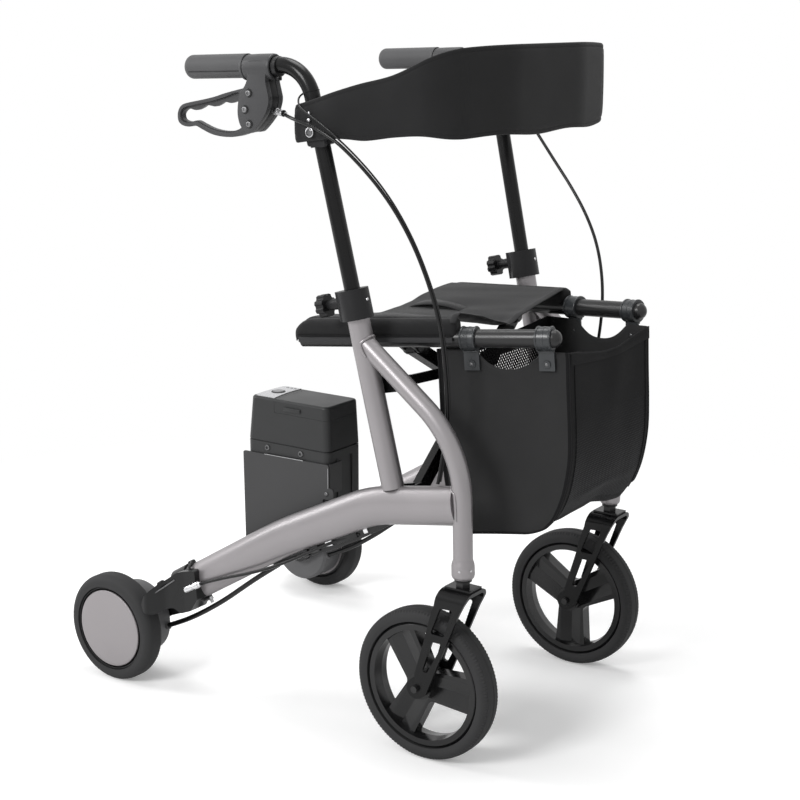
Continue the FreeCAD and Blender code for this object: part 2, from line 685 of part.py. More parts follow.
def make_rear_wheel():
    """Turning hub shell with its flat outer disc."""
    y_in = REAR_WHEEL_Y - REAR_TYRE_W / 2
    y_out = REAR_WHEEL_Y + REAR_TYRE_W / 2
    return turned([(REAR_AXLE_R + RUN, y_in), (REAR_TYRE_INNER_R - 4, y_in), (REAR_TYRE_INNER_R, y_in + 3),
                   (REAR_TYRE_INNER_R, y_out - 4), (REAR_TYRE_INNER_R - 2, y_out - 2.5),
                   (REAR_TYRE_INNER_R - 12, y_out - 1),
                   (0, y_out), (0, y_out - 4), (REAR_AXLE_R + RUN, y_out - 4)], rear_centre(0), Y_AXIS)


def make_rear_tyre():
    return rounded_ring(REAR_TYRE_INNER_R, REAR_R, REAR_TYRE_W, 12, rear_centre(REAR_WHEEL_Y), Y_AXIS)


# ================================================================ fold linkage
FOLD_AXIS = POST_ACROSS
FOLD_UP = POST_UP


def cross_point(y, z, offset=0.0):
    """Point of the cross plane at a height, moved along the fold axis."""
    up = (z - LOWER_PIVOT_Z) / FOLD_UP.z
    return V(LOWER_PIVOT_X, y, LOWER_PIVOT_Z) + FOLD_UP * up + FOLD_AXIS * offset


def cross_centre_z():
    share = LOWER_PIVOT_Y / (LOWER_PIVOT_Y + UPPER_PIVOT_Y)
    return LOWER_PIVOT_Z + (UPPER_PIVOT_Z - LOWER_PIVOT_Z) * share


def link(start, end, width, thickness, end_r):
    """Flat bar between two pivots with rounded ends, thickness along the fold axis."""
    along = unit(end - start)
    across = FOLD_AXIS.cross(along)
    back = FOLD_AXIS * (thickness / 2)
    pts = [start + across * (width / 2), end + across * (width / 2),
           end - across * (width / 2), start - across * (width / 2)]
    edge = [p - back for p in pts]
    bar = Part.Face(Part.makePolygon(edge + [edge[0]])).extrude(FOLD_AXIS * thickness)
    rounds = [rod(end_r, p - back, p + back) for p in (start, end)]
    return joined([bar] + rounds)


def arm_grooves(bar, start, end, thickness):
    """Two shallow channels along both faces of an arm."""
    along = unit(end - start)
    across = FOLD_AXIS.cross(along)
    first = start + along * 22
    last = end - along * 22
    for side in (-1, 1):
        face = FOLD_AXIS * (side * thickness / 2)
        for shift in (-4.5, 4.5):
            pts = [first + across * (shift - 2), last + across * (shift - 2),
                   last + across * (shift + 2), first + across * (shift + 2)]
            strip = Part.Face(Part.makePolygon([p + face * 1.1 for p in pts] + [pts[0] + face * 1.1]))
            bar = bar.cut(strip.extrude(face * -0.25))
    return bar


def make_cross_arm(side, offset):
    """From the lower pivot on one side to the rail on the other; side is that of the lower pivot."""
    low = cross_point(side * LOWER_PIVOT_Y, LOWER_PIVOT_Z, offset)
    high = cross_point(-side * UPPER_PIVOT_Y, UPPER_PIVOT_Z, offset)
    middle = cross_point(0, cross_centre_z(), offset)
    arm = link(low, high, ARM_W, ARM_T, ARM_W / 2)
    arm = arm_grooves(arm, low, high, ARM_T)
    reach = FOLD_AXIS * ARM_T
    for p in (low, high, middle):
        arm = arm.cut(rod(PIN_R + RUN, p - reach, p + reach))
    return arm


def headed_pin(middle, half, head_r):
    return turned([(0, -half - 3), (head_r, -half - 3), (head_r, -half), (PIN_R, -half), (PIN_R, half),
                   (head_r, half), (head_r, half + 3), (0, half + 3)], middle, FOLD_AXIS)


def cross_block(y0, y1, up0, up1, a0, a1):
    """Box set square to the cross: along Y, up its plane, and along the fold axis."""
    base = V(LOWER_PIVOT_X, 0, LOWER_PIVOT_Z)
    corners = [base + V(0, y, 0) + FOLD_UP * up + FOLD_AXIS * a0
               for y, up in ((y0, up0), (y1, up0), (y1, up1), (y0, up1))]
    return Part.Face(Part.makePolygon(corners + [corners[0]])).extrude(FOLD_AXIS * (a1 - a0))


def clevis(pivot, side, wall_y, half_gap, ear_r, ear_t):
    """Two ears with their pin, reaching from a pivot outward to wall_y."""
    up = (pivot - V(LOWER_PIVOT_X, pivot.y, LOWER_PIVOT_Z)).dot(FOLD_UP)
    along = (pivot - V(LOWER_PIVOT_X, pivot.y, LOWER_PIVOT_Z)).dot(FOLD_AXIS)
    parts = []
    for face in (-1, 1):
        near = along + face * half_gap
        far = near + face * ear_t
        low, high = sorted((near, far))
        parts.append(cross_block(pivot.y, side * wall_y, up - ear_r, up + ear_r, low, high))
        parts.append(rod(ear_r, pivot + FOLD_AXIS * (low - along), pivot + FOLD_AXIS * (high - along)))
    pin = headed_pin(pivot, half_gap + ear_t, 6.5)
    return parts + [pin]


def make_cross_bolt():
    return headed_pin(cross_point(0, cross_centre_z()), ARM_OFFSET + ARM_T / 2 + SIDE_PLAY, 8)


def inner_face_y(z, half_width):
    """Inner side of a leaning tube at a height."""
    return FRAME_HALF_Y + (z - CAMBER_Z) * math.tan(math.radians(CAMBER)) - half_width


def make_fold_bracket(side):
    """Lugs inside one side frame: the arm's on the beam and the stay's on the post."""
    offset = ARM_OFFSET if side > 0 else -ARM_OFFSET
    pivot = cross_point(side * LOWER_PIVOT_Y, LOWER_PIVOT_Z, offset)
    wall = inner_face_y(LOWER_PIVOT_Z, BEAM_HALF_W)
    half = ARM_T / 2 + SIDE_PLAY
    arm_parts = clevis(pivot, side, wall - 3, half, 10, LUG_T)
    reach = half + LUG_T
    foot = cross_block(side * (wall - 4), side * (wall + 1), -14, 14, offset - reach, offset + reach)
    arm_lug = joined(arm_parts + [foot])
    root = stay_root(side)
    up = (STAY_ROOT_Z - LOWER_PIVOT_Z) / FOLD_UP.z
    stay_half = STAY_T / 2 + SIDE_PLAY
    reach = stay_half + LUG_T
    post_at = (post_x(LOWER_PIVOT_Z) - LOWER_PIVOT_X) * FOLD_AXIS.x
    ends = sorted([post_at - 6, post_at + 6, stay_offset(side) - reach, stay_offset(side) + reach])
    face = inner_face_y(STAY_ROOT_Z, POST_R)
    strap = cross_block(side * (face - 3.5), side * (face + 2), up - 12, up + 12, ends[0], ends[3])
    stay_lug = joined(clevis(root, side, face - 3, stay_half, 8, LUG_T) + [strap])
    frame = make_side_frame()
    if side < 0:
        frame = frame.mirror(ORIGIN, Y_AXIS)
    lugs = [arm_lug.cut(frame), stay_lug.cut(frame)]
    return Part.makeCompound([max(lug.Solids, key=lambda solid: solid.Volume) for lug in lugs])


def stay_root(side):
    return cross_point(side * STAY_ROOT_Y, STAY_ROOT_Z, stay_offset(side))


def stay_offset(side):
    """The right stay lies in front of the arm it meets, the left one behind its own."""
    return (ARM_OFFSET + ARM_T / 2 + STAY_T / 2 + 1.0) * (1 if side < 0 else -1)


def stay_tip(side):
    """Beside the arm that rises to this side's rail, STAY_REACH above its middle."""
    rise = UPPER_PIVOT_Z - LOWER_PIVOT_Z
    spread = LOWER_PIVOT_Y + UPPER_PIVOT_Y
    share = STAY_REACH / math.hypot(spread, rise / FOLD_UP.z)
    return cross_point(side * share * spread, cross_centre_z() + share * rise, stay_offset(side))


def make_stay(side):
    bar = link(stay_root(side), stay_tip(side), STAY_W, STAY_T, STAY_W / 2)
    reach = FOLD_AXIS * STAY_T
    for place in (stay_root(side), stay_tip(side)):
        bar = bar.cut(rod(PIN_R + RUN, place - reach, place + reach))
    return bar


# ================================================================ seat rails
RAIL_BACK = unit(V(-1, RAIL_TOE_IN, -RAIL_PITCH))
RAIL_SIDE = unit(Z_AXIS.cross(RAIL_BACK)) * -1
RAIL_UP = unit(RAIL_BACK.cross(RAIL_SIDE)) * -1


def rail_point(distance, outward=0.0, up=0.0):
    return RAIL_TIP + RAIL_BACK * distance + RAIL_SIDE * outward + RAIL_UP * up


def rail_box(start, length, out_from, out_to, up_from, up_to):
    corner = [rail_point(start, out_from, up_from), rail_point(start, out_to, up_from),
              rail_point(start, out_to, up_to), rail_point(start, out_from, up_to)]
    return Part.Face(Part.makePolygon(corner + [corner[0]])).extrude(RAIL_BACK * length)


def rail_pivot(side):
    """Upper pivot of the arm that carries this side's rail."""
    offset = -ARM_OFFSET if side > 0 else ARM_OFFSET
    return cross_point(side * UPPER_PIVOT_Y, UPPER_PIVOT_Z, offset)


def make_rail_tube():
    """Round tube with a domed plug in its front end, as one turned solid."""
    steps = [math.radians(15 * i) for i in range(1, 7)]
    dome = [(RAIL_R * math.sin(a), RAIL_R * (1 - math.cos(a))) for a in steps]
    return turned([(0, 0)] + dome + [(RAIL_R, RAIL_LENGTH), (0, RAIL_LENGTH)], RAIL_TIP, RAIL_BACK)


def rail_crossing(place, side):
    """Where a side's rail axis meets the plane through place that is square to the fold axis."""
    tip = V(RAIL_TIP.x, side * RAIL_TIP.y, RAIL_TIP.z)
    back = V(RAIL_BACK.x, side * RAIL_BACK.y, RAIL_BACK.z)
    return tip + back * ((place - tip).dot(FOLD_AXIS) / back.dot(FOLD_AXIS))


def make_seat_rail(side):
    """Tube with its end dome and the two ears that hang inboard for the arm."""
    tube = make_rail_tube()
    cover = rail_box(SLEEVE_FROM - GAP, SLEEVE_TO - SLEEVE_FROM, -SLEEVE_HALF_W - GAP, SLEEVE_HALF_W + GAP,
                     SLEEVE_BOTTOM - GAP, SLEEVE_TOP)
    if side < 0:
        tube = tube.mirror(ORIGIN, Y_AXIS)
        cover = cover.mirror(ORIGIN, Y_AXIS)
    pivot = rail_pivot(side)
    ears = []
    for face in (-1, 1):
        near = pivot + FOLD_AXIS * (face * (ARM_T / 2 + SIDE_PLAY))
        far = near + FOLD_AXIS * (face * LUG_T)
        on_rail = rail_crossing(near, side)
        across = unit(FOLD_AXIS.cross(on_rail - near))
        neck = Part.Face(Part.makePolygon([near + across * 8, on_rail + across * 8, on_rail - across * 8,
                                           near - across * 8, near + across * 8])).extrude(far - near)
        ears.append(joined([rod(9, near, far), neck]).cut(cover))
    half = ARM_T / 2 + SIDE_PLAY + LUG_T
    return joined([tube] + ears + [headed_pin(pivot, half, 7)])


def make_clips():
    rings = []
    for place in CLIP_PLACES:
        ring = rod(CLIP_R, rail_point(place), rail_point(place + CLIP_W))
        tab = rail_box(place, CLIP_W, -BAG_INSET - 0.2, -BAG_INSET + 3.0, -44, -RAIL_R - 1)
        rivet_at = rail_point(place + CLIP_W / 2, -BAG_INSET + 2.5, -35)
        rivet = rod(3.2, rivet_at, rivet_at + RAIL_SIDE * 2)
        whole = joined([ring, tab, rivet])
        rings.append(whole.cut(rod(RAIL_R + RUN, rail_point(place - 5), rail_point(place + CLIP_W + 5))))
    return group(rings)


def make_sleeve():
    """Cloth sleeve with a padded top that is rounded off at its rear end."""
    w = SLEEVE_HALF_W
    start = SLEEVE_FROM - 1
    pts = [rail_point(start, -w, SLEEVE_BOTTOM), rail_point(start, w, SLEEVE_BOTTOM),
           rail_point(start, w, SLEEVE_TOP), rail_point(start, -w, SLEEVE_TOP)]
    body = outline(pts, [w / 4, w / 4, w * 0.75, w * 0.75]).extrude(RAIL_BACK * (SLEEVE_TO - SLEEVE_FROM + 2))
    side = [rail_point(SLEEVE_FROM, -2 * w, SLEEVE_BOTTOM), rail_point(SLEEVE_TO, -2 * w, SLEEVE_BOTTOM),
            rail_point(SLEEVE_TO, -2 * w, SLEEVE_TOP), rail_point(SLEEVE_FROM, -2 * w, SLEEVE_TOP)]
    body = body.common(outline(side, [3, 5, w * 1.5, w / 2]).extrude(RAIL_SIDE * (4 * w)))
    return body.cut(rod(RAIL_R + GAP, rail_point(SLEEVE_FROM - 1), rail_point(RAIL_LENGTH + GAP)))


# ================================================================ seat, bag, backrest
def make_seat_sling():
    """Cloth between the two sleeves, sagging to the middle."""
    sections = []
    for distance in (SLEEVE_FROM, SLEEVE_TO - 4):
        edge = rail_point(distance, -SLEEVE_HALF_W - GAP, SLEEVE_TOP - 8)
        low = V(edge.x, 0, edge.z - 26)
        right = V(edge.x, -edge.y, edge.z)
        thick = V(0, 0, 3)
        lower = Part.Arc(edge, low, right).toShape()
        upper = Part.Arc(right + thick, low + thick, edge + thick).toShape()
        sections.append(Part.Wire([lower, Part.LineSegment(right, right + thick).toShape(), upper,
                                   Part.LineSegment(edge + thick, edge).toShape()]))
    return Part.makeLoft(sections, True, True)


BAG_SIDE = [(BAG_REAR_X, BAG_TOP_Z - 12), (BAG_FRONT_X - 6, BAG_TOP_Z), (BAG_FRONT_X + 2, BAG_TOP_Z - 142),
            (BAG_FRONT_X - 9, BAG_BOTTOM_Z + 66), (BAG_FRONT_X - 32, BAG_BOTTOM_Z + 17),
            (BAG_REAR_X + 29, BAG_BOTTOM_Z), (BAG_REAR_X + 10, BAG_BOTTOM_Z + 77)]
BAG_SIDE_ROUND = [3, 6, 80, 50, 22, 20, 60]


def bag_wall_y(x, inset):
    """Y of the left side panel at a place along X."""
    tip = RAIL_TIP
    return tip.y + (tip.x - x) * RAIL_TOE_IN - inset


def bag_side_slab(out_inset, in_inset):
    """Space between two planes that follow the left rail in plan."""
    xs = (BAG_REAR_X - 60, BAG_FRONT_X + 60)
    low = BAG_BOTTOM_Z - 60
    pts = [V(xs[0], bag_wall_y(xs[0], out_inset), low), V(xs[1], bag_wall_y(xs[1], out_inset), low),
           V(xs[1], bag_wall_y(xs[1], in_inset), low), V(xs[0], bag_wall_y(xs[0], in_inset), low)]
    return Part.Face(Part.makePolygon(pts + [pts[0]])).extrude(V(0, 0, BAG_TOP_Z - BAG_BOTTOM_Z + 130))


def make_bag_side():
    """Side panel with a dip in its upper edge between the two clips."""
    slab = plate(BAG_SIDE, BAG_SIDE_ROUND, 0, FRAME_HALF_Y)
    top = BAG_TOP_Z
    dip = plate([(BAG_REAR_X + 60, top + 20), (BAG_REAR_X + 66, top - 22), (BAG_REAR_X + 82, top - 33),
                 (BAG_REAR_X + 118, top - 32), (BAG_REAR_X + 136, top - 18), (BAG_REAR_X + 146, top + 20)],
                [0, 10, 14, 14, 12, 0], -1, FRAME_HALF_Y + 1)
    return slab.common(bag_side_slab(BAG_INSET + BAG_WALL, BAG_INSET + 0.5)).cut(dip)


def make_bag_body():
    """Rear wall, floor and front wall in one strip round the side panels' edges."""
    reach = FRAME_HALF_Y
    ring = plate(BAG_SIDE, BAG_SIDE_ROUND, -reach, reach)
    inner = inset(BAG_SIDE, BAG_WALL)
    inner[0] = (inner[0][0] - 1, BAG_TOP_Z + 40)
    inner[1] = (inner[1][0], BAG_TOP_Z + 40)
    ring = ring.cut(plate(inner, [0, 0, 77, 47, 19, 17, 57], -reach - 1, reach + 1))
    between = bag_side_slab(BAG_INSET + BAG_WALL + 0.5, 600)
    other = between.mirror(ORIGIN, Y_AXIS)
    return ring.common(between).common(other)


BACKREST_SIDE = [(-29, -106), (58, -93), (227, -91), (227, 29), (197, 21), (172, 13), (124, -13), (58, -27),
                 (-29, -54)]     # x from the handle tube, heights from its upper corner


def make_backrest():
    """Wide band that bows forward from outside one handle tube to the other."""
    t = BACKREST_T
    half = inner_face_y(BACKREST_Z, 0) + BACKREST_PAD + GAP + t + 1.0
    x = post_x(BACKREST_Z)
    bow = [(x - 24, half), (x + 36, half), (x + 197, FRAME_HALF_Y + 7), (x + 225, FRAME_HALF_Y - 120)]
    back_bow = [(x - 24, half - t), (x + 36 - 0.1 * t, half - t),
                (x + 197 - 0.84 * t, FRAME_HALF_Y + 7 - 0.84 * t),
                (x + 225 - t, FRAME_HALF_Y - 120 - 0.1 * t)]
    outer = mirrored_plan(bow)
    inner = mirrored_plan(back_bow)
    front = path_edges(outer, [120, 60, 150, 150, 60, 120])
    back = path_edges(list(reversed(inner)), [120 - t, 60 - t, 150 - t, 150 - t, 60 - t, 120 - t])
    ends = [Part.LineSegment(outer[-1], inner[-1]).toShape(), Part.LineSegment(inner[0], outer[0]).toShape()]
    band = Part.Face(Part.Wire(front + [ends[0]] + back + [ends[1]])).extrude(V(0, 0, 160))
    side = plate([(x + a, z) for a, z in raised(BACKREST_SIDE)], [0, 200, 0, 0, 40, 60, 60, 100, 0],
                 -half - 9, half + 9)
    return band.common(side)


def mirrored_plan(half):
    """Plan points of the left half followed by the right half, below the band."""
    left = [V(x, y, HANDLE_TOP_Z - 122) for x, y in half]
    return left + [V(p.x, -p.y, p.z) for p in reversed(left)]


# ================================================================ power box on the right frame
def rounded_prism(x0, x1, y0, y1, z0, z1, radius):
    box = Part.makeBox(x1 - x0, y1 - y0, z1 - z0, V(x0, y0, z0))
    upright = [e for e in box.Edges if abs(e.Vertexes[0].Z - e.Vertexes[1].Z) > 1]
    return box.makeFillet(radius, upright)


def box_shell():
    """Upper case, drawn in a little towards its rounded top."""
    sections = []
    for z, x0, x1, draw in ((BOX_SEAM_Z, BOX_REAR_X - 6.5, BOX_FRONT_X + 3, 0.0),
                            (BOX_TOP_Z, BOX_REAR_X, BOX_FRONT_X, BOX_DRAFT)):
        y0, y1 = -BOX_OUTER_Y + draw, -BOX_INNER_Y - draw
        pts = [V(x0, y0, z), V(x1, y0, z), V(x1, y1, z), V(x0, y1, z)]
        sections.append(outline(pts, [10] * 4).OuterWire)
    shell = Part.makeLoft(sections, True, True)
    top_edges = [e for e in shell.Edges if abs(e.CenterOfMass.z - BOX_TOP_Z) < 0.01]
    return shell.makeFillet(4, top_edges)


def make_power_box():
    base = rounded_prism(BOX_REAR_X - 6.5, BOX_FRONT_X + 3, -BOX_OUTER_Y, -BOX_INNER_Y,
                         BOX_BOTTOM_Z, BOX_SEAM_Z - 2, 10)
    band = rounded_prism(BOX_REAR_X - 4.5, BOX_FRONT_X + 1, -BOX_OUTER_Y + 1.5, -BOX_INNER_Y - 1.5,
                         BOX_SEAM_Z - 3, BOX_SEAM_Z + 1, 9)
    shell = box_shell().cut(lid_space(0.0))
    button = button_centre()
    shell = shell.cut(rod(BUTTON_R + 0.1, button - V(0, 0, 6), button + V(0, 0, 5)))
    screws = [screw_head(3, 1.2, V(x, -BOX_OUTER_Y, BOX_SEAM_Z - 10), -Y_AXIS)
              for x in (BOX_REAR_X + 32.3, BOX_FRONT_X - 47.4)]
    return joined([base, band, shell] + screws)


def lid_space(shrink):
    corner = V(BOX_LID_X + shrink, -BOX_OUTER_Y - 50, BOX_TOP_Z - BOX_LID_H + shrink)
    return Part.makeBox(200, 200, 100, corner)


def make_battery_lid():
    return box_shell().common(lid_space(GAP))


def button_centre():
    return V(BOX_REAR_X + 22, -(BOX_OUTER_Y + BOX_INNER_Y) / 2, BOX_TOP_Z)


def make_button():
    c = button_centre()
    return rod(BUTTON_R, c - V(0, 0, 3), c + V(0, 0, 2.5))


def make_box_bracket():
    """Plate between the box and the beam, with a lip in front, a shelf below and two spacers."""
    y = -BOX_OUTER_Y - GAP
    top = BOX_SEAM_Z - 20
    side = plate([(BOX_REAR_X - 12.5, top - 0.5), (BOX_FRONT_X + 5, top + 2), (BOX_FRONT_X + 5, top - 31),
                  (BOX_FRONT_X - 6, top - 45), (BOX_FRONT_X - 6, top - 91), (BOX_REAR_X - 11, top - 181)],
                 [3, 3, 3, 3, 8, 8], y - BOX_PLATE_T, y)
    lug = plate([(BOX_FRONT_X - 10, top - 50), (BOX_FRONT_X + 13, top - 50), (BOX_FRONT_X + 13, top - 33),
                 (BOX_FRONT_X - 10, top - 30)], 4, y - BOX_PLATE_T, y)
    lip_x = BOX_FRONT_X + 3 + GAP
    flange = Part.makeBox(BOX_PLATE_T, 28, 44, V(lip_x, y, top - 42))
    floor_z = BOX_BOTTOM_Z - GAP - BOX_PLATE_T
    shelf = Part.makeBox(BOX_FRONT_X - BOX_REAR_X + 6, BOX_OUTER_Y - BOX_INNER_Y, BOX_PLATE_T,
                         V(BOX_REAR_X - 6, y, floor_z))
    bolts = []
    for x, z in BOX_BOLTS:
        bolts.append(rod(7, V(x, y, z), V(x, GAP - inner_face_y(z, BEAM_HALF_W), z)))
    return joined([side, lug, flange, shelf] + bolts)


# ================================================================ cables
def cord(route, diameter):
    """Straight runs joined by arcs as large as the runs allow."""
    points = [V(*p) for p in route]
    radii = []
    for a, b, c in zip(points, points[1:], points[2:]):
        turn = math.pi - (a - b).getAngle(c - b)
        run = min((a - b).Length, (c - b).Length)
        radii.append(0.45 * run / math.tan(turn / 2))
    print("cord radii", [round(r) for r in radii])
    return swept_round(points, radii, diameter / 2)


BRAKE_CABLE_D = 5.0
MOTOR_CABLE_D = 8.0
# Routes of the two upper cables: round the outside of the backrest, then forward and down.
# Each point is x, outward from the side plane, and height: a share of the way from the post's
# top up to the adjuster, or for the lower points millimetres from the post's top.
BOW_RIGHT = [(35, 49, 1.004), (111, 50, 0.925), (156, 39, 0.773), (192, 25, 0.596), (219, 11, 0.392),
             (237, -1, 0.18)]
DROP_RIGHT = [(251, -9, -9), (257, -13, -63), (259, -17, -119), (257, -18, -173)]
BOW_LEFT = [(35, 49, 1.0), (99, 50, 0.925), (134, 36, 0.796), (170, 25, 0.651), (205, 17, 0.506),
            (236, 11, 0.349), (259, 5, 0.184)]
DROP_LEFT = [(272, 0, 1), (277, -5, -47), (274, -9, -97), (267, -13, -147), (259, -15, -193)]


def upper_route(bow, drop):
    """From the brake housing's adjuster to the beam's top, inside the front tube."""
    start = lean(Part.Vertex(ADJUSTER_X + GAP + 2.0, ADJUSTER_Y, ADJUSTER_Z)).Vertexes[0].Point
    beam_x, beam_z = BEAM_PATH[-1]
    end = V(beam_x - 38, inner_face_y(beam_z, 9) + 0.7, beam_z + 22)
    rise = ADJUSTER_Z - POST_TOP_Z
    points = [(x, FRAME_HALF_Y + y, POST_TOP_Z + share * rise) for x, y, share in bow]
    points += [(x, FRAME_HALF_Y + y, POST_TOP_Z + z) for x, y, z in drop]
    return [(start.x, start.y, start.z)] + points + [(end.x, end.y, end.z)]


def make_rear_brake_cable():
    x, z = FERRULE_TIP
    return lean(cord([(x + GAP, FERRULE_Y, z), (-122, 21, 193.5), (-79, 19, 208), (-37, 14, 224),
                      (5, 10, 244.5), (48, 6, 269), (88, 3, 290), (125, 0, 305.5)], BRAKE_CABLE_D))


def make_motor_cable():
    return lean(cord(MOTOR_ROUTE, MOTOR_CABLE_D))


def main():
    os.makedirs("parts", exist_ok=True)
    export_pair("side_frame", make_side_frame())
    export_pair("height_collar", make_collar())
    export_pair("clamp_knob", make_knob())
    export_pair("handle_tube", make_handle_tube())
    export_pair("grip", make_grip())
    export_pair("brake_housing", make_housing())
    export_pair("brake_lever", make_lever())
    export_pair("backrest_clamp", make_backrest_clamp())
    export_pair("caster_fork", make_fork())
    export_pair("caster_bolts", make_caster_bolts())
    export("caster_wheel_left", make_caster_wheel(0))
    export("caster_wheel_right", make_caster_wheel(RIGHT_WHEEL_TURN).mirror(ORIGIN, Y_AXIS))
    export_pair("caster_tyre", make_caster_tyre())
    export_pair("rear_bracket", make_rear_bracket())
    export_pair("hub_motor", make_hub_motor())
    export_pair("rear_wheel", make_rear_wheel())
    export_pair("rear_tyre", make_rear_tyre())
    export("cross_arm_front", make_cross_arm(1, ARM_OFFSET))
    export("cross_arm_rear", make_cross_arm(-1, -ARM_OFFSET))
    export("cross_bolt", make_cross_bolt())
    for name, side in (("left", 1), ("right", -1)):
        export("fold_bracket_" + name, make_fold_bracket(side))
        export("fold_stay_" + name, make_stay(side))
        export("seat_rail_" + name, make_seat_rail(side))
    export_pair("rail_clips", make_clips())
    export_pair("seat_sleeve", make_sleeve())
    export("seat_sling", make_seat_sling())
    export_pair("bag_side", make_bag_side())
    export("bag_body", make_bag_body())
    export("backrest_band", make_backrest())
    export("power_box", make_power_box())
    export("battery_lid", make_battery_lid())
    export("power_button", make_button())
    export("box_bracket", make_box_bracket())
    export("brake_cable_left", cord(upper_route(BOW_LEFT, DROP_LEFT), BRAKE_CABLE_D))
    right = cord(upper_route(BOW_RIGHT, DROP_RIGHT), BRAKE_CABLE_D)
    export("brake_cable_right", right.mirror(ORIGIN, Y_AXIS))
    export_pair("rear_brake_cable", make_rear_brake_cable())
    export_pair("motor_cable", make_motor_cable())


main()
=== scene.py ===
"""Studio scene of a folding four-wheeled walker with motor-assisted rear wheels."""
import math

import bmesh
import bpy
from mathutils import Matrix, Quaternion, Vector, noise


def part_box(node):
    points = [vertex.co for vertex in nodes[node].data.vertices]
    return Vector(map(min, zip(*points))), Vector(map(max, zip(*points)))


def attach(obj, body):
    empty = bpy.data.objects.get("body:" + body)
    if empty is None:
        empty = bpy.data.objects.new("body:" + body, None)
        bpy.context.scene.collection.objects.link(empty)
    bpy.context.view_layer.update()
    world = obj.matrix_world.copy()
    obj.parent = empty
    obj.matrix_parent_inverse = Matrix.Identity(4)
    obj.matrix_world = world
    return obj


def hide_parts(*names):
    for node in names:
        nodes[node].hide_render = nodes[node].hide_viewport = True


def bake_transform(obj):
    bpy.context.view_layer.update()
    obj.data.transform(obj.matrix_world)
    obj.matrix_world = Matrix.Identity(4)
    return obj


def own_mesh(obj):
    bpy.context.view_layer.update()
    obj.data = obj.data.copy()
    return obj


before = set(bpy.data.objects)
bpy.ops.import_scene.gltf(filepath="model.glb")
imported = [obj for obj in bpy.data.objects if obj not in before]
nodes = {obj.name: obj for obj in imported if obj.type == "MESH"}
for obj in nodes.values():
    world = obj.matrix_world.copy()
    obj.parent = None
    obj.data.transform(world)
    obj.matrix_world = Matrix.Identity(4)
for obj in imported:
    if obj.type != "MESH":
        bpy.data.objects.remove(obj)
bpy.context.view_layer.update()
bpy.ops.object.select_all(action="DESELECT")

SIDES = {"right": -1, "left": 1}
MM = 0.001

# ---------------------------------------------------------------- places on the walker, in millimetres
CAMBER = math.radians(1.8)              # the side frames lean outward at the top
CAMBER_Z = 300.0                        # height at which the lean leaves SIDE_PLANE_Y as it is
SIDE_PLANE_Y = 210.0
POST_TILT = math.radians(12.8)
POST_TOP_X, POST_TOP_Z = 128.0, 631.0   # middle of the height collar
POST_ACROSS = Vector((math.cos(POST_TILT), 0, math.sin(POST_TILT)))
POST_UP = Vector((-math.sin(POST_TILT), 0, math.cos(POST_TILT)))
HANDLE_Z = 952.0                        # corner of the handle tube
HANDLE_DROOP = 0.035                    # fall of the grip towards its rear end
FRONT_TUBE_X = 297.5                    # the upright over a caster
REAR_AXLE_X, REAR_AXLE_Z = -314.0, 85.0
RAIL_SPREAD = 0.192                     # outward run of a seat rail towards its rear end
RAIL_TIP = Vector((391.0, 120.1, 601.6))
RAIL_BACK = Vector((-1.0, RAIL_SPREAD, -0.081)).normalized()
RAIL_SIDE = Vector((RAIL_SPREAD, 1.0, 0.0)).normalized()
RAIL_UP = RAIL_SIDE.cross(RAIL_BACK).normalized()
if RAIL_UP.z < 0:
    RAIL_UP.negate()


def mm(x, y, z):
    """A place or a move given in millimetres."""
    return Vector((x, y, z)) * MM


def leaned(x, outward, z, side):
    """A point of the flat side plane, set at the side frame's outward lean."""
    up = z - CAMBER_Z
    return mm(x, side * (SIDE_PLANE_Y + outward * math.cos(CAMBER) + up * math.sin(CAMBER)),
              CAMBER_Z + up * math.cos(CAMBER) - outward * math.sin(CAMBER))


def leaned_way(x, outward, z, side):
    """A direction of the side plane, at the same lean."""
    return (leaned(x, outward, z, side) - leaned(0, 0, 0, side)).normalized()


def post_x(z):
    """How far forward the post's middle line is at a height."""
    return POST_TOP_X + (POST_TOP_Z - z) * math.tan(POST_TILT)


def on_rail(distance, outward, up, side):
    """A point by its distance back from a seat rail's front tip, and its place round the rail."""
    p = RAIL_TIP + RAIL_BACK * distance + RAIL_SIDE * outward + RAIL_UP * up
    return mm(p.x, side * p.y, p.z)


def eased(t):
    """Goes from 0 to 1 with soft ends."""
    t = min(max(t, 0.0), 1.0)
    return t * t * (3 - 2 * t)


def curve_through(stops):
    """Smooth function of one variable through (x, value) stops."""
    xs = [s[0] for s in stops]
    ys = [s[1] for s in stops]
    slopes = []
    for i in range(len(xs)):
        a, b = max(i - 1, 0), min(i + 1, len(xs) - 1)
        slopes.append((ys[b] - ys[a]) / (xs[b] - xs[a]))

    def value(x):
        x = min(max(x, xs[0]), xs[-1])
        i = max(k for k in range(len(xs) - 1) if xs[k] <= x or k == 0)
        h = xs[i + 1] - xs[i]
        t = (x - xs[i]) / h
        return (ys[i] * (1 + 2 * t) * (1 - t) ** 2 + slopes[i] * h * t * (1 - t) ** 2
                + ys[i + 1] * t * t * (3 - 2 * t) + slopes[i + 1] * h * t * t * (t - 1))
    return value


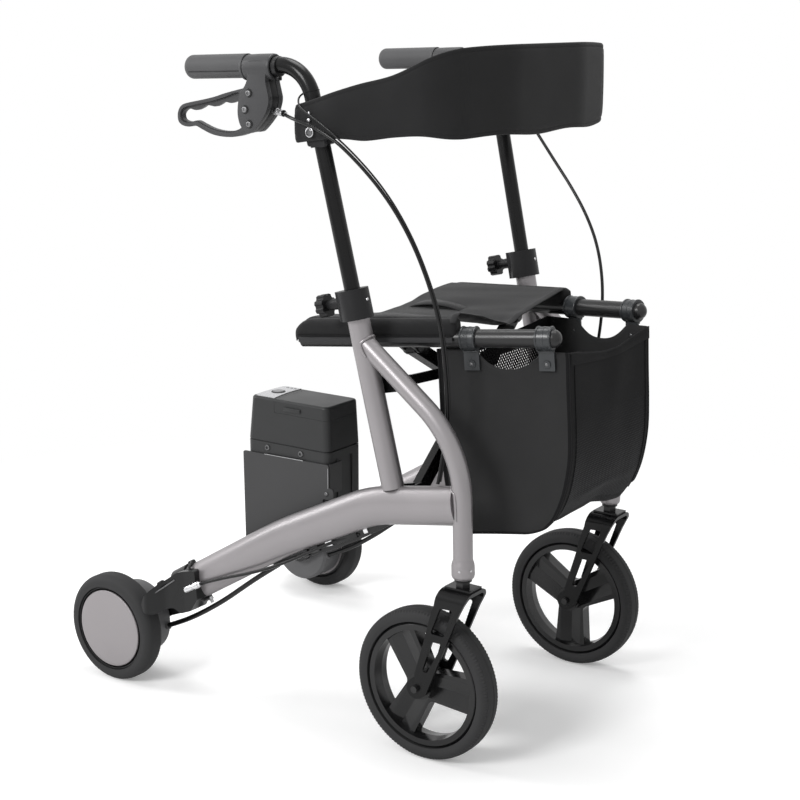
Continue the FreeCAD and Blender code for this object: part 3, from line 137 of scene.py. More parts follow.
def rounded_line(points, radii, step):
    """2-D points along straight runs joined by arcs, about a step apart."""
    pts = [Vector(p) for p in points]
    line = [pts[0].copy()]

    def go_to(target):
        start = line[-1].copy()
        count = max(1, round((target - start).length / step))
        line.extend(start.lerp(target, (k + 1) / count) for k in range(count))

    for before, corner, after, radius in zip(pts, pts[1:], pts[2:], radii):
        into = (corner - before).normalized()
        out = (after - corner).normalized()
        turn = math.acos(max(-1.0, min(1.0, into.dot(out))))
        sense = 1 if into.x * out.y - into.y * out.x > 0 else -1
        reach = radius * math.tan(turn / 2)
        go_to(corner - into * reach)
        centre = line[-1] + Vector((-into.y, into.x)) * (sense * radius)
        arm = line[-1] - centre
        count = max(1, round(radius * turn / step))
        for k in range(count):
            angle = sense * turn * (k + 1) / count
            line.append(centre + Vector((arm.x * math.cos(angle) - arm.y * math.sin(angle),
                                         arm.x * math.sin(angle) + arm.y * math.cos(angle))))
    go_to(pts[-1])
    return line


def ripple(point, scale, seed=0.0):
    """Soft unevenness of cloth, from -1 to 1, at a point in metres."""
    return noise.noise(Vector(point) * scale + Vector((seed, seed * 1.7, seed * 0.6)))


# ---------------------------------------------------------------- shader helpers
class Value:
    """A node socket that takes part in Python arithmetic."""

    def __init__(self, graph, socket):
        self.graph = graph
        self.socket = socket

    def __add__(self, other):
        return self.graph.math("ADD", self, other)

    def __radd__(self, other):
        return self.graph.math("ADD", other, self)

    def __sub__(self, other):
        return self.graph.math("SUBTRACT", self, other)

    def __rsub__(self, other):
        return self.graph.math("SUBTRACT", other, self)

    def __mul__(self, other):
        return self.graph.math("MULTIPLY", self, other)

    def __rmul__(self, other):
        return self.graph.math("MULTIPLY", other, self)

    def __truediv__(self, other):
        return self.graph.math("DIVIDE", self, other)

    def sin(self):
        return self.graph.math("SINE", self)

    def root(self):
        return self.graph.math("SQRT", self)

    def floor(self):
        return self.graph.math("FLOOR", self)

    def fract(self):
        return self.graph.math("FRACT", self)

    def most(self, other):
        return self.graph.math("MAXIMUM", self, other)

    def over(self, limit):
        return self.graph.math("GREATER_THAN", self, limit)

    def under(self, limit):
        return self.graph.math("LESS_THAN", self, limit)


class Graph:
    """The nodes of a material or of the world."""

    def __init__(self, owner):
        owner.use_nodes = True
        self.tree = owner.node_tree
        self.tree.nodes.clear()

    def node(self, kind, settings=None, inputs=None, output=0):
        made = self.tree.nodes.new("ShaderNode" + kind)
        for key, value in (settings or {}).items():
            setattr(made, key, value)
        for key, value in (inputs or {}).items():
            self.feed(made.inputs[key], value)
        return Value(self, made.outputs[output]) if made.outputs else None

    def feed(self, socket, value):
        if isinstance(value, Value):
            self.tree.links.new(value.socket, socket)
        else:
            socket.default_value = value

    def math(self, operation, *values):
        return self.node("Math", {"operation": operation}, dict(enumerate(values)))

    def ray(self, kind):
        return self.node("LightPath", output=f"Is {kind} Ray")


class Shader(Graph):
    """One material: a Principled surface and whatever feeds it."""

    def __init__(self, name, **fixed):
        self.material = bpy.data.materials.new(name)
        super().__init__(self.material)
        self.out = self.tree.nodes.new("ShaderNodeOutputMaterial")
        surface = self.node("BsdfPrincipled", None, {k.replace("_", " "): v for k, v in fixed.items()})
        self.surface = surface.socket.node
        self.show(surface)

    def show(self, surface):
        """What the material's output takes."""
        self.feed(self.out.inputs["Surface"], surface)

    def axes(self):
        parts = self.node("SeparateXYZ", None, {0: self.node("TexCoord", output="Object")})
        return [Value(self, socket) for socket in parts.socket.node.outputs]

    def noise(self, scale, detail=3.0, roughness=0.5):
        return self.node("TexNoise", None, {"Vector": self.node("TexCoord", output="Object"), "Scale": scale,
                                            "Detail": detail, "Roughness": roughness})

    def mix(self, factor, low, high):
        return self.node("Mix", {"data_type": "RGBA"}, {0: factor, 6: low, 7: high}, output=2)

    def stretch(self, value, low, high, to_low, to_high):
        return self.node("MapRange", None, {"Value": value, "From Min": low, "From Max": high,
                                            "To Min": to_low, "To Max": to_high})

    def colour(self, value):
        self.feed(self.surface.inputs["Base Color"], value)

    def roughness(self, value):
        self.feed(self.surface.inputs["Roughness"], value)

    def bump(self, height, distance, strength):
        normal = self.node("Bump", None, {"Height": height, "Distance": distance, "Strength": strength})
        self.feed(self.surface.inputs["Normal"], normal)


def rgb(r, g, b):
    """An opaque colour."""
    return (r, g, b, 1.0)


# ---------------------------------------------------------------- finishes
def metallic_paint():
    """Silver-grey frame paint with a fine flake."""
    s = Shader("silver_paint", Metallic=0.6, Specular_IOR_Level=0.3, Coat_Weight=0.15, Coat_Roughness=0.18)
    flake = s.noise(2600, 2)
    drift = s.noise(9, 3)
    s.colour(s.mix(flake * 0.5 + drift * 0.5, rgb(0.245, 0.232, 0.238), rgb(0.315, 0.299, 0.307)))
    s.roughness(s.stretch(drift, 0.3, 0.7, 0.32, 0.42))
    s.bump(flake, 0.00004, 0.25)
    return s.material


def ringed_disc():
    """Disc paint with the groove and the rim outside it left black, by the distance from the axle."""
    black_from = 61.2 * MM
    s = Shader("hub_paint", Metallic=0.45, Specular_IOR_Level=0.5, Coat_Weight=0.15, Coat_Roughness=0.3)
    x, _, z = s.axes()
    flake = s.noise(2600, 2)
    drift = s.noise(12, 3)
    disc_paint = s.mix(flake * 0.5 + drift * 0.5, rgb(0.235, 0.220, 0.226), rgb(0.305, 0.287, 0.294))
    ahead, up = x - REAR_AXLE_X * MM, z - REAR_AXLE_Z * MM
    radius = (ahead * ahead + up * up).root()
    s.colour(s.mix(radius.over(black_from), disc_paint, rgb(0.012, 0.012, 0.0125)))
    s.roughness(s.stretch(drift, 0.3, 0.7, 0.42, 0.5))
    s.bump(flake, 0.00004, 0.2)
    return s.material


def black_paint():
    """Satin black paint on the handle tubes, the cross frame and the forks."""
    s = Shader("black_satin_paint", Specular_IOR_Level=0.2, Coat_Weight=0.05, Coat_Roughness=0.1)
    drift = s.noise(25, 3)
    grain = s.noise(1800, 2)
    s.colour(s.mix(drift, rgb(0.0025, 0.0025, 0.0027), rgb(0.005, 0.005, 0.0053)))
    s.roughness(s.stretch(drift, 0.3, 0.7, 0.2, 0.3))
    s.bump(grain, 0.00004, 0.3)
    return s.material


def moulded(name, dark, light, rough, grain_scale, grain_depth, gloss=0.25):
    """Moulded plastic or rubber with a spark-eroded grain."""
    s = Shader(name, Specular_IOR_Level=gloss)
    drift = s.noise(18, 3)
    grain = s.noise(grain_scale, 2, roughness=0.6)
    s.colour(s.mix(drift * 0.7 + grain * 0.3, rgb(*dark), rgb(*light)))
    s.roughness(s.stretch(drift + grain * 0.3, 0.4, 0.9, rough - 0.05, rough + 0.06))
    s.bump(grain, grain_depth, 0.5)
    return s.material


def plated(name, dark, light, smoothest, roughest):
    """Bare or zinc-plated steel, a little uneven."""
    s = Shader(name, Metallic=1.0)
    drift = s.noise(140, 3)
    s.colour(s.mix(drift, rgb(dark, dark, dark * 1.02), rgb(light, light, light * 1.02)))
    s.roughness(s.stretch(drift, 0.3, 0.7, smoothest, roughest))
    return s.material


def woven(name, dark, light, pitch, depth, sheen):
    """Plain-weave polyester: crossed yarns, a soft mottle and a little lint sheen."""
    s = Shader(name, Roughness=0.85, Specular_IOR_Level=0.1, Sheen_Weight=sheen, Sheen_Roughness=0.5)
    x, y, z = s.axes()
    turn = 2 * math.pi / pitch
    warp = (y * turn + x * (turn * 0.4)).sin()
    weft = (z * turn + x * (turn * 0.4)).sin()
    weave = warp * weft * 0.5 + 0.5
    blotch = s.noise(14, 4)
    s.colour(s.mix(weave * 0.4 + blotch * 0.6, rgb(*dark), rgb(*light)))
    s.bump(weave + s.noise(900, 2) * 0.6, depth, 0.6)
    return s.material


def from_hole(across, up, pitch, stretched=1.0):
    """Distance from the nearest hole of a knit with staggered rows, in shares of its pitch."""
    row = up / (pitch * 0.866)
    column = ((across / (pitch * stretched) + row.floor() * 0.5).fract() - 0.5) * stretched
    level = row.fract() - 0.5
    return (column * column + level * level).root()


def open_net():
    """Knitted net: staggered rows of open holes in black yarn."""
    s = Shader("net_cloth", Roughness=0.75, Specular_IOR_Level=0.12)
    _, y, z = s.axes()
    span = from_hole(y, z, 4.4 * MM, 1.5)
    s.colour(s.mix(s.noise(300, 2), rgb(0.006, 0.006, 0.0065), rgb(0.016, 0.016, 0.0165)))
    s.feed(s.surface.inputs["Alpha"], span.over(0.44))
    s.bump(span, 0.0003, 0.6)
    return s.material


def backed_net():
    """The same knit over a dark lining: its yarn catches the light as fine dots, less so higher up."""
    s = Shader("pocket_net", Roughness=0.7, Specular_IOR_Level=0.12)
    x, y, z = s.axes()
    span = from_hole(y, z + x * 0.3, 4.0 * MM)
    fade = s.stretch(z, 0.40, 0.50, 1.0, 0.0)
    s.colour(s.mix(span.under(0.27) * fade, rgb(0.005, 0.005, 0.0055), rgb(0.042, 0.042, 0.044)))
    s.bump(span, 0.0003, 0.7)
    return s.material


silver = metallic_paint()
disc_finish = ringed_disc()
satin_black = black_paint()
# name, darkest and lightest colour, roughness, scale and depth of the grain, gloss
plastic = moulded("black_moulding", (0.006, 0.006, 0.0065), (0.012, 0.012, 0.013), 0.4, 1500, 0.00008)
wheel_plastic = moulded("wheel_moulding", (0.005, 0.005, 0.0053), (0.009, 0.009, 0.0095), 0.2, 700, 0.00003,
                        0.4)
lever_plastic = moulded("lever_moulding", (0.040, 0.040, 0.042), (0.054, 0.054, 0.056), 0.42, 1500, 0.00008,
                        0.3)
casting = moulded("cast_bracket", (0.004, 0.004, 0.0045), (0.011, 0.011, 0.0115), 0.3, 900, 0.00012, 0.35)
# Lighter copy of the cast finish, laid on the brake arm's ridges: a painted highlight.
cast_painted_highlight = moulded("cast_painted_highlight", (0.07, 0.07, 0.072), (0.12, 0.12, 0.123), 0.35, 900, 0.00004, 0.5)
box_plastic = moulded("box_moulding", (0.021, 0.0215, 0.022), (0.029, 0.0295, 0.030), 0.4, 1400, 0.00006)
clip_plastic = moulded("rail_moulding", (0.022, 0.024, 0.026), (0.034, 0.037, 0.040), 0.3, 1400, 0.00006,
                       0.45)
plate_paint = moulded("plate_paint", (0.030, 0.030, 0.031), (0.042, 0.042, 0.043), 0.4, 1400, 0.00004, 0.3)
tube_plastic = moulded("rail_tube", (0.008, 0.008, 0.0085), (0.016, 0.016, 0.0165), 0.32, 1400, 0.00006, 0.4)
grip_rubber = moulded("grip_rubber", (0.058, 0.058, 0.060), (0.082, 0.082, 0.084), 0.5, 1100, 0.00012)
tyre_rubber = moulded("tyre_rubber", (0.020, 0.020, 0.0205), (0.036, 0.036, 0.037), 0.66, 700, 0.0002, 0.2)
motor_grey = moulded("motor_case", (0.07, 0.07, 0.072), (0.11, 0.11, 0.113), 0.45, 900, 0.00006, 0.3)
panel_grey = moulded("grey_panel", (0.42, 0.42, 0.43), (0.52, 0.52, 0.53), 0.42, 900, 0.00004)
button_grey = moulded("grey_button", (0.2, 0.2, 0.205), (0.27, 0.27, 0.275), 0.4, 900, 0.00004)
cable_black = moulded("cable_sheath", (0.003, 0.003, 0.0033), (0.007, 0.007, 0.0074), 0.28, 2500, 0.00003,
                      0.3)
# name, darkest and lightest level, lowest and highest roughness
steel = plated("zinc_steel", 0.42, 0.62, 0.2, 0.36)
dull_steel = plated("dull_steel", 0.10, 0.18, 0.3, 0.45)
cap_metal = plated("screw_cap", 0.16, 0.26, 0.3, 0.42)
bright_zinc = plated("bright_zinc", 0.62, 0.8, 0.15, 0.3)
# Bright metal standing in for highlights along the box plate's edges: painted highlight.
painted_edge_highlight = plated("painted_edge_highlight", 0.3, 0.42, 0.3, 0.45)
# name, darkest and lightest colour, pitch and depth of the weave, sheen
pad_cloth = woven("black_polyester", (0.010, 0.010, 0.0105), (0.022, 0.022, 0.0225), 0.0008, 0.00012, 0.12)
bag_cloth = woven("bag_polyester", (0.016, 0.016, 0.0165), (0.034, 0.034, 0.0345), 0.001, 0.00016, 0.12)
# Darker copy of the bag cloth for the front, floor and borders: painted shade of the faces turned away from
# the lamps.
bag_shaded_front_cloth = woven("bag_front_polyester_painted_shade", (0.005, 0.005, 0.0055), (0.013, 0.013, 0.0135), 0.001, 0.00016,
                        0.03)
seat_cloth = woven("seat_polyester", (0.015, 0.015, 0.0155), (0.030, 0.030, 0.031), 0.001, 0.00014, 0.12)
binding_tape = woven("binding_tape", (0.006, 0.006, 0.0065), (0.014, 0.014, 0.0145), 0.0006, 0.0001, 0.04)
strip_tape = woven("strip_tape", (0.03, 0.03, 0.031), (0.052, 0.052, 0.054), 0.0006, 0.0001, 0.1)
net_cloth = open_net()
pocket_net = backed_net()

FINISHES = [
    (silver, ["side_frame"]),
    (satin_black, ["fold_bracket", "handle_tube", "cross_arm_front", "cross_arm_rear", "fold_stay",
                   "caster_fork"]),
    (plate_paint, ["box_bracket"]),
    (plastic, ["height_collar", "clamp_knob", "backrest_clamp"]),
    (wheel_plastic, ["caster_wheel"]),
    (lever_plastic, ["brake_housing", "brake_lever"]),
    (clip_plastic, ["rail_clips"]),
    (tube_plastic, ["seat_rail", "caster_bolts"]),
    (casting, ["rear_bracket"]),
    (motor_grey, ["hub_motor"]),
    (grip_rubber, ["grip"]),
    (tyre_rubber, ["caster_tyre", "rear_tyre"]),
    (steel, ["cross_bolt"]),
    (box_plastic, ["power_box", "battery_lid"]),
    (button_grey, ["power_button"]),
]
for finish_material, names in FINISHES:
    for name in names:
        for full_name in (name, name + "_right", name + "_left"):
            if full_name in nodes:
                nodes[full_name].data.materials.clear()
                nodes[full_name].data.materials.append(finish_material)


# ---------------------------------------------------------------- modelling helpers
def deselect():
    """Leaves nothing selected."""
    bpy.ops.object.select_all(action="DESELECT")


def take(piece):
    """Makes one piece the selected and active one."""
    deselect()
    piece.select_set(True)
    bpy.context.view_layer.objects.active = piece


def linked(name, data):
    """A new object of the scene from a mesh or a curve."""
    piece = bpy.data.objects.new(name, data)
    bpy.context.scene.collection.objects.link(piece)
    return piece


TOUCHING = 0.00001                        # points nearer than this, in metres, are one point


def face_outward(piece, doubles=0.0, holes=False, triangles=False):
    """Turns a mesh's faces outward, after its doubles are merged and its open ends are closed."""
    take(piece)
    bpy.ops.object.mode_set(mode="EDIT")
    bpy.ops.mesh.select_all(action="SELECT")
    if doubles:
        bpy.ops.mesh.remove_doubles(threshold=doubles)
    if holes:
        bpy.ops.mesh.fill_holes(sides=0)
    if triangles:
        bpy.ops.mesh.quads_convert_to_tris()
    bpy.ops.mesh.normals_make_consistent(inside=False)
    bpy.ops.object.mode_set(mode="OBJECT")


def finish(piece, name, material, body, smooth=35):
    """Closes a modelled piece: normals outward, place in the mesh, finish, and the body it rides on."""
    take(piece)
    bpy.ops.object.transform_apply(location=True, rotation=True, scale=True)
    face_outward(piece, doubles=TOUCHING)
    bpy.ops.object.shade_smooth_by_angle(angle=math.radians(smooth))
    piece.name = name
    piece.data.name = name
    piece.data.materials.clear()
    piece.data.materials.append(material)
    deselect()
    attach(piece, body)
    return piece


def turned(start, along, profile, segments):
    """A turned piece: a circle drawn out ring by ring through (distance, radius) pairs in millimetres."""
    along = Vector(along).normalized()
    facing = along.to_track_quat("Z", "Y")
    deselect()
    bpy.ops.mesh.primitive_circle_add(vertices=segments, radius=profile[0][1] * MM, fill_type="NOTHING",
                                      location=Vector(start) + along * profile[0][0] * MM,
                                      rotation=facing.to_euler())
    piece = bpy.context.object
    bpy.ops.object.transform_apply(location=True, rotation=True, scale=True)
    bpy.ops.object.mode_set(mode="EDIT")
    bpy.ops.mesh.select_all(action="SELECT")
    last = profile[0]
    for reach, radius in profile[1:]:
        move = along * ((reach - last[0]) * MM)
        bpy.ops.mesh.extrude_edges_move(TRANSFORM_OT_translate={"value": move})
        grow = radius / last[1]
        if abs(grow - 1) > 1e-6:
            bpy.ops.transform.resize(value=(grow, grow, grow))
        last = (reach, radius)
    bpy.ops.mesh.select_all(action="SELECT")
    bpy.ops.mesh.fill_holes(sides=0)
    bpy.ops.object.mode_set(mode="OBJECT")
    return piece


def slab(centre, size, bevel, turn=None):
    """A flat-sided block with its edges eased. Sizes in millimetres, centre in metres."""
    deselect()
    bpy.ops.mesh.primitive_cube_add(size=1, location=(0, 0, 0))
    piece = bpy.context.object
    piece.scale = Vector(size) * MM
    bpy.ops.object.transform_apply(location=False, rotation=False, scale=True)
    apply_modifier(piece, "BEVEL", width=bevel * MM, segments=2)
    piece.rotation_mode = "QUATERNION"
    piece.rotation_quaternion = turn or Quaternion()
    piece.location = centre
    return piece


def merged(pieces):
    """Joins pieces into the first."""
    for piece in pieces:
        take(piece)
        bpy.ops.object.transform_apply(location=True, rotation=True, scale=True)
    take(pieces[0])
    for piece in pieces[1:]:
        piece.select_set(True)
    if len(pieces) > 1:
        bpy.ops.object.join()
    return bpy.context.object


def net(name, table, material, tube=False):
    """A surface through rows of points, in metres. As a tube, each row closes on itself."""
    mesh = bpy.data.meshes.new(name)
    shape = bmesh.new()
    grid = [[shape.verts.new(p) for p in row] for row in table]
    columns = len(grid[0])
    for a, b in zip(grid, grid[1:]):
        for j in range(columns if tube else columns - 1):
            shape.faces.new((a[j], a[(j + 1) % columns], b[(j + 1) % columns], b[j]))
    bmesh.ops.remove_doubles(shape, verts=shape.verts[:], dist=1e-6)
    bmesh.ops.recalc_face_normals(shape, faces=shape.faces[:])
    shape.to_mesh(mesh)
    shape.free()
    mesh.materials.append(material)
    return linked(name, mesh)


def flattened(line):
    """The mesh of a curve object, which is then dropped."""
    bpy.context.view_layer.update()
    mesh = bpy.data.meshes.new_from_object(line.evaluated_get(bpy.context.evaluated_depsgraph_get()))
    curve = line.data
    bpy.data.objects.remove(line)
    bpy.data.curves.remove(curve)
    return mesh


def apply_modifier(piece, kind, **settings):
    """Adds a modifier and makes its result the mesh."""
    take(piece)
    added = piece.modifiers.new(kind.lower(), kind)
    for key, value in settings.items():
        setattr(added, key, value)
    if kind == "SUBSURF":
        added.render_levels = added.levels
    bpy.ops.object.modifier_apply(modifier=added.name)
    deselect()


def round_cord(name, points, diameter, material, sides=10):
    """A cord laid along a smooth spline whose control points are the route's points, in metres."""
    curve = bpy.data.curves.new(name, "CURVE")
    curve.dimensions = "3D"
    spline = curve.splines.new("NURBS")
    spline.points.add(len(points) - 1)
    for knot, p in zip(spline.points, points):
        knot.co = (*p, 1.0)
    spline.order_u = 3
    spline.use_endpoint_u = True
    spline.resolution_u = 10
    curve.bevel_depth = diameter / 2
    curve.bevel_resolution = max(1, sides // 2 - 1)
    curve.use_fill_caps = True
    mesh = flattened(linked(name + "_line", curve))
    mesh.name = name
    mesh.materials.clear()
    mesh.materials.append(material)
    mesh.shade_smooth()
    return linked(name, mesh)


# ---------------------------------------------------------------- backrest
BAND_PLAN = [(49.2, 252.3), (109.2, 252.3), (270.2, 217.0), (298.2, 90.0)]   # one half, seen from above
BAND_RADII = [120, 60, 150]
BAND_LANE_STEP = 6.0
END_SEAM, CROSS_SEAM = 9.0, 247.0         # stitched lines, by their distance along the band from its ends
SEAM_HALF_WIDTH = 3.1
BAND_TOP = curve_through([(44, 898), (75, 906), (110, 917), (150, 929), (197, 941), (245, 963), (270, 973),
                          (284, 977), (300, 979)])
BAND_BOTTOM = curve_through([(44, 848), (75, 853), (110, 859), (131, 859), (160, 856), (200, 860),
                             (240, 864), (270, 862), (300, 860)])
# distance from the nearer long edge, and half thickness there: hem, stitched groove, padding
BAND_ROWS = [(0.0, 0.1), (0.7, 1.1), (2.4, 1.7), (5.0, 1.8), (6.0, 1.0), (7.0, 1.9), (9.5, 2.7), (15.0, 3.2),
             (23.0, 3.4)]
BAND_MIDDLE = 3.5                         # half thickness of the padding between those rows


def band_column(height, lanes):
    """Distance from the upper edge and half thickness of each lane, from the upper edge to the lower one."""
    rows = [(d, t) for d, t in BAND_ROWS if d < height * 0.18]
    middle = [(height * (0.2 + 0.1 * k), BAND_MIDDLE) for k in range(7)]
    column = rows + middle + [(height - d, t) for d, t in reversed(rows)]
    last = len(rows) - 1
    while len(column) > (lanes or len(column)):
        column.pop(last)
    while len(column) < (lanes or 0):
        column.insert(last + 1, ((column[last][0] + column[last + 1][0]) / 2, 3.3))
    return column


def make_backrest():
    """Padded band with turned hems, bowed forward from one handle tube to the other."""
    half = [Vector(p) for p in BAND_PLAN]
    other = [Vector((p.x, -p.y)) for p in reversed(half)]
    line = rounded_line(half + other, BAND_RADII + BAND_RADII[::-1], BAND_LANE_STEP)
    spans = [0.0]
    for a, b in zip(line, line[1:]):
        spans.append(spans[-1] + (b - a).length)
    table, lanes = [], None
    for i, p in enumerate(line):
        ahead = (line[min(i + 1, len(line) - 1)] - line[max(i - 1, 0)]).normalized()
        inward = Vector((ahead.y, -ahead.x))
        from_end = min(spans[i], spans[-1] - spans[i])
        pinch = 0.6 if abs(from_end - CROSS_SEAM) < SEAM_HALF_WIDTH else 1.0
        if from_end < 0.5:
            pinch = 0.45
        elif abs(from_end - END_SEAM) < SEAM_HALF_WIDTH:
            pinch = 0.55
        top = BAND_TOP(p.x)
        height = top - BAND_BOTTOM(p.x)
        wave = 1.8 * math.sin(spans[i] / 27.0) * min(from_end / 60.0, 1.0)
        column = band_column(height, lanes)
        lanes = len(column)
        front, back = [], []
        for down, thick in column:
            z = top - down + wave * (down / height) ** 2
            crease = ripple(mm(p.x, p.y, z), 16) * 1.3 * min(down, height - down, 12) / 12
            middle = p + inward * (3.4 - crease)
            front.append(mm(*(middle - inward * thick * pinch), z))
            back.append(mm(*(middle + inward * thick * pinch), z))
        table.append(front + back[::-1])
    band = net("backrest_pad", table, pad_cloth, tube=True)
    face_outward(band, holes=True)
    apply_modifier(band, "SUBSURF", levels=1)
    band.data.shade_smooth()
    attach(band, "handlebar_right")
    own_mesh(band)
    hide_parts("backrest_band")


# ---------------------------------------------------------------- seat
SEAT_FRONT, SEAT_REAR = 143.0, 384.0      # distances back from the rail tips
SLEEVE_FRONT, SLEEVE_REAR = 146.0, 394.0
SLEEVE_TOP, SLEEVE_LOW = 28.0, -3.0       # heights over the rail's middle line
SLEEVE_PIPING = 2.2
SEAT_OUT = -10.5                          # where the seat's cloth leaves a sleeve's top
CORNER_OUT, CORNER_RISE = 2.0, 5.5        # how far the front right corner stands out and up
SEAT_LAP = 0.04                           # share of the cloth that turns down over each sleeve
HEM_WIDTH, HEM_RISE = 9.0, 0.9
STRAP_START, STRAP_RUN = 256.0, 100.0
STRAP_ACROSS, STRAP_DRIFT = 0.60, 0.02    # place across the seat, and how far it runs askew


def sleeve_drop(distance):
    """How far a sleeve's top falls away towards its rear end."""
    return 15 * (1 - min((SLEEVE_REAR - distance) / 24, 1)) ** 2


def seat_point(across, distance):
    """A point of the seat cloth: across runs from 0 at the right sleeve to 1 at the left."""
    side = -1 if across < 0.5 else 1
    edge = min(across, 1 - across)
    front = 1 - eased((distance - SEAT_FRONT - 4) / 24)
    # the front corner over the right sleeve stands a little higher and hangs over
    over, far_over = (front, 0.0) if side < 0 else (0.0, front)
    top = SLEEVE_TOP - 1.0 - sleeve_drop(distance)
    out, up = SEAT_OUT + CORNER_OUT * over, top + CORNER_RISE * over
    if edge < SEAT_LAP:
        lap = 1 - edge / SEAT_LAP
        hang = over * (2.0 * lap - 13.0 * lap ** 3) - 2.5 * (1 - over) * lap
        return on_rail(distance, out + (3.0 + 20.0 * over) * lap, up + hang, side)
    share = (edge - SEAT_LAP) / (1 - 2 * SEAT_LAP)
    near = on_rail(distance, out, up, side)
    far = on_rail(distance, SEAT_OUT + CORNER_OUT * far_over, top + CORNER_RISE * far_over, -side)
    flat = near.lerp(far, share)
    to_rear = (distance - SEAT_FRONT) / (SEAT_REAR - SEAT_FRONT)
    # a round bowl at the rear turns into a fold with a crease along its middle at the front
    bowl = math.sin(math.pi * share) ** 2 * 19.0
    from_right = share if side < 0 else 1 - share
    fold = min(from_right / 0.45, (1 - from_right) / 0.55) ** 1.15 * 32.0
    crease = math.exp(-((share - 0.5) / 0.05) ** 2) * 1.5 * (1 - to_rear)
    bowl_share = eased(to_rear * 1.3)
    dip = bowl * bowl_share + fold * (1 - bowl_share) + crease
    loose = math.sin(math.pi * share)
    pull = ripple((flat.x, flat.y * 3.2, 0.3), 9) * 2.4 * loose
    pull += ripple((flat.x * 0.6, flat.y * 2, 0.7), 22) * 1.2 * loose
    front_edge = max(0.0, 1 - (distance - SEAT_FRONT) / 10.0)
    return flat - mm(0, 0, dip - pull) - mm(0, 0, 2.0 * front_edge ** 2)


def seat_strap():
    """Pull strap sewn down at both ends along the middle of the seat, slack between them."""
    width, hem, thickness = 0.031, 0.032, 0.7
    section = ((-hem, -0.3), (-width, thickness), (width, thickness), (hem, -0.3), (width, -thickness),
               (-width, -thickness))
    table = []
    for k in range(33):
        t = k / 32
        lift = 7.5 * math.sin(math.pi * t) ** 0.8 + 1.2
        middle = STRAP_ACROSS + STRAP_DRIFT * t
        table.append([seat_point(middle + across, STRAP_START + STRAP_RUN * t) + mm(0, 0, lift + extra)
                      for across, extra in section])
    return net("seat_strap", table, seat_cloth, tube=True)


def make_strap_painted_shade():
    """Dark sheet under the slack of the pull strap, painted shade where the strap stands off the seat, and
    its stitched end at the seat's front.
    """
    rows = []
    for k in range(21):
        middle, distance = STRAP_ACROSS + 0.01 + STRAP_DRIFT * k / 20, STRAP_START + 6 + 88 * k / 20
        rows.append([seat_point(middle + across, distance) + mm(0, 0, 1.9) for across in (-0.03, 0.0, 0.03)])
    # dark sheet put where the strap's shade falls on the seat: painted shade
    painted_shade_sheet = net("strap_shade_sheet", rows, binding_tape)
    apply_modifier(painted_shade_sheet, "SOLIDIFY", thickness=0.0012, offset=0.0)
    end = slab(seat_point(0.455, SEAT_FRONT + 3) + mm(-4, 0, -6.5), (14.0, 26.0, 8.5), 2.0)
    end.data.materials.append(binding_tape)
    painted_shade_sheet = merged([painted_shade_sheet, end])
    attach(painted_shade_sheet, "rail_right")
    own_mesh(painted_shade_sheet)


def make_seat_cloth():
    """One cloth from sleeve to sleeve with hemmed edges and a pull strap along its middle."""
    hem = [0, 2, 5, HEM_WIDTH, 11, 14]
    rows = [SEAT_FRONT + d for d in hem] + [SEAT_FRONT + 14 + 3.95 * k for k in range(1, 54)]
    rows += [SEAT_REAR - d for d in reversed(hem)]
    table = []
    for distance in rows:
        hemmed = min(distance - SEAT_FRONT, SEAT_REAR - distance) <= HEM_WIDTH
        rise = mm(0, 0, HEM_RISE if hemmed else 0.0)
        table.append([seat_point(k / 96, distance) + rise for k in range(97)])
    seat = net("seat_sheet", table, seat_cloth)
    if seat.data.polygons[0].normal.z < 0:
        seat.data.flip_normals()
    apply_modifier(seat, "SOLIDIFY", thickness=0.0016, offset=1.0)
    apply_modifier(seat, "SUBSURF", levels=1)
    strap = seat_strap()
    seat.data.shade_smooth()
    strap.data.shade_smooth()
    seat = merged([seat, strap])
    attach(seat, "rail_right")
    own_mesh(seat)
    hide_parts("seat_sling")


def swell(piece, cap):
    """Inflates a closed mesh with a short cloth run and caps how far each point may move."""
    frames = 20
    apply_modifier(piece, "REMESH", mode="VOXEL", voxel_size=0.0045)
    rest = [v.co.copy() for v in piece.data.vertices]
    pad = piece.modifiers.new("pad", "CLOTH")
    pad.settings.use_pressure = True
    pad.settings.uniform_pressure_force = 4.0
    pad.settings.effector_weights.gravity = 0.0
    pad.settings.quality = 4
    pad.point_cache.frame_start = 1
    pad.point_cache.frame_end = frames
    scene = bpy.context.scene
    for step in range(1, frames + 1):
        scene.frame_set(step)
    scene_graph = bpy.context.evaluated_depsgraph_get()
    moved = [v.co.copy() for v in piece.evaluated_get(scene_graph).data.vertices]
    piece.modifiers.remove(pad)
    scene.frame_set(1)
    for vertex, a, b in zip(piece.data.vertices, rest, moved):
        shift = b - a
        if shift.length > cap:
            shift *= cap / shift.length
        vertex.co = a + shift


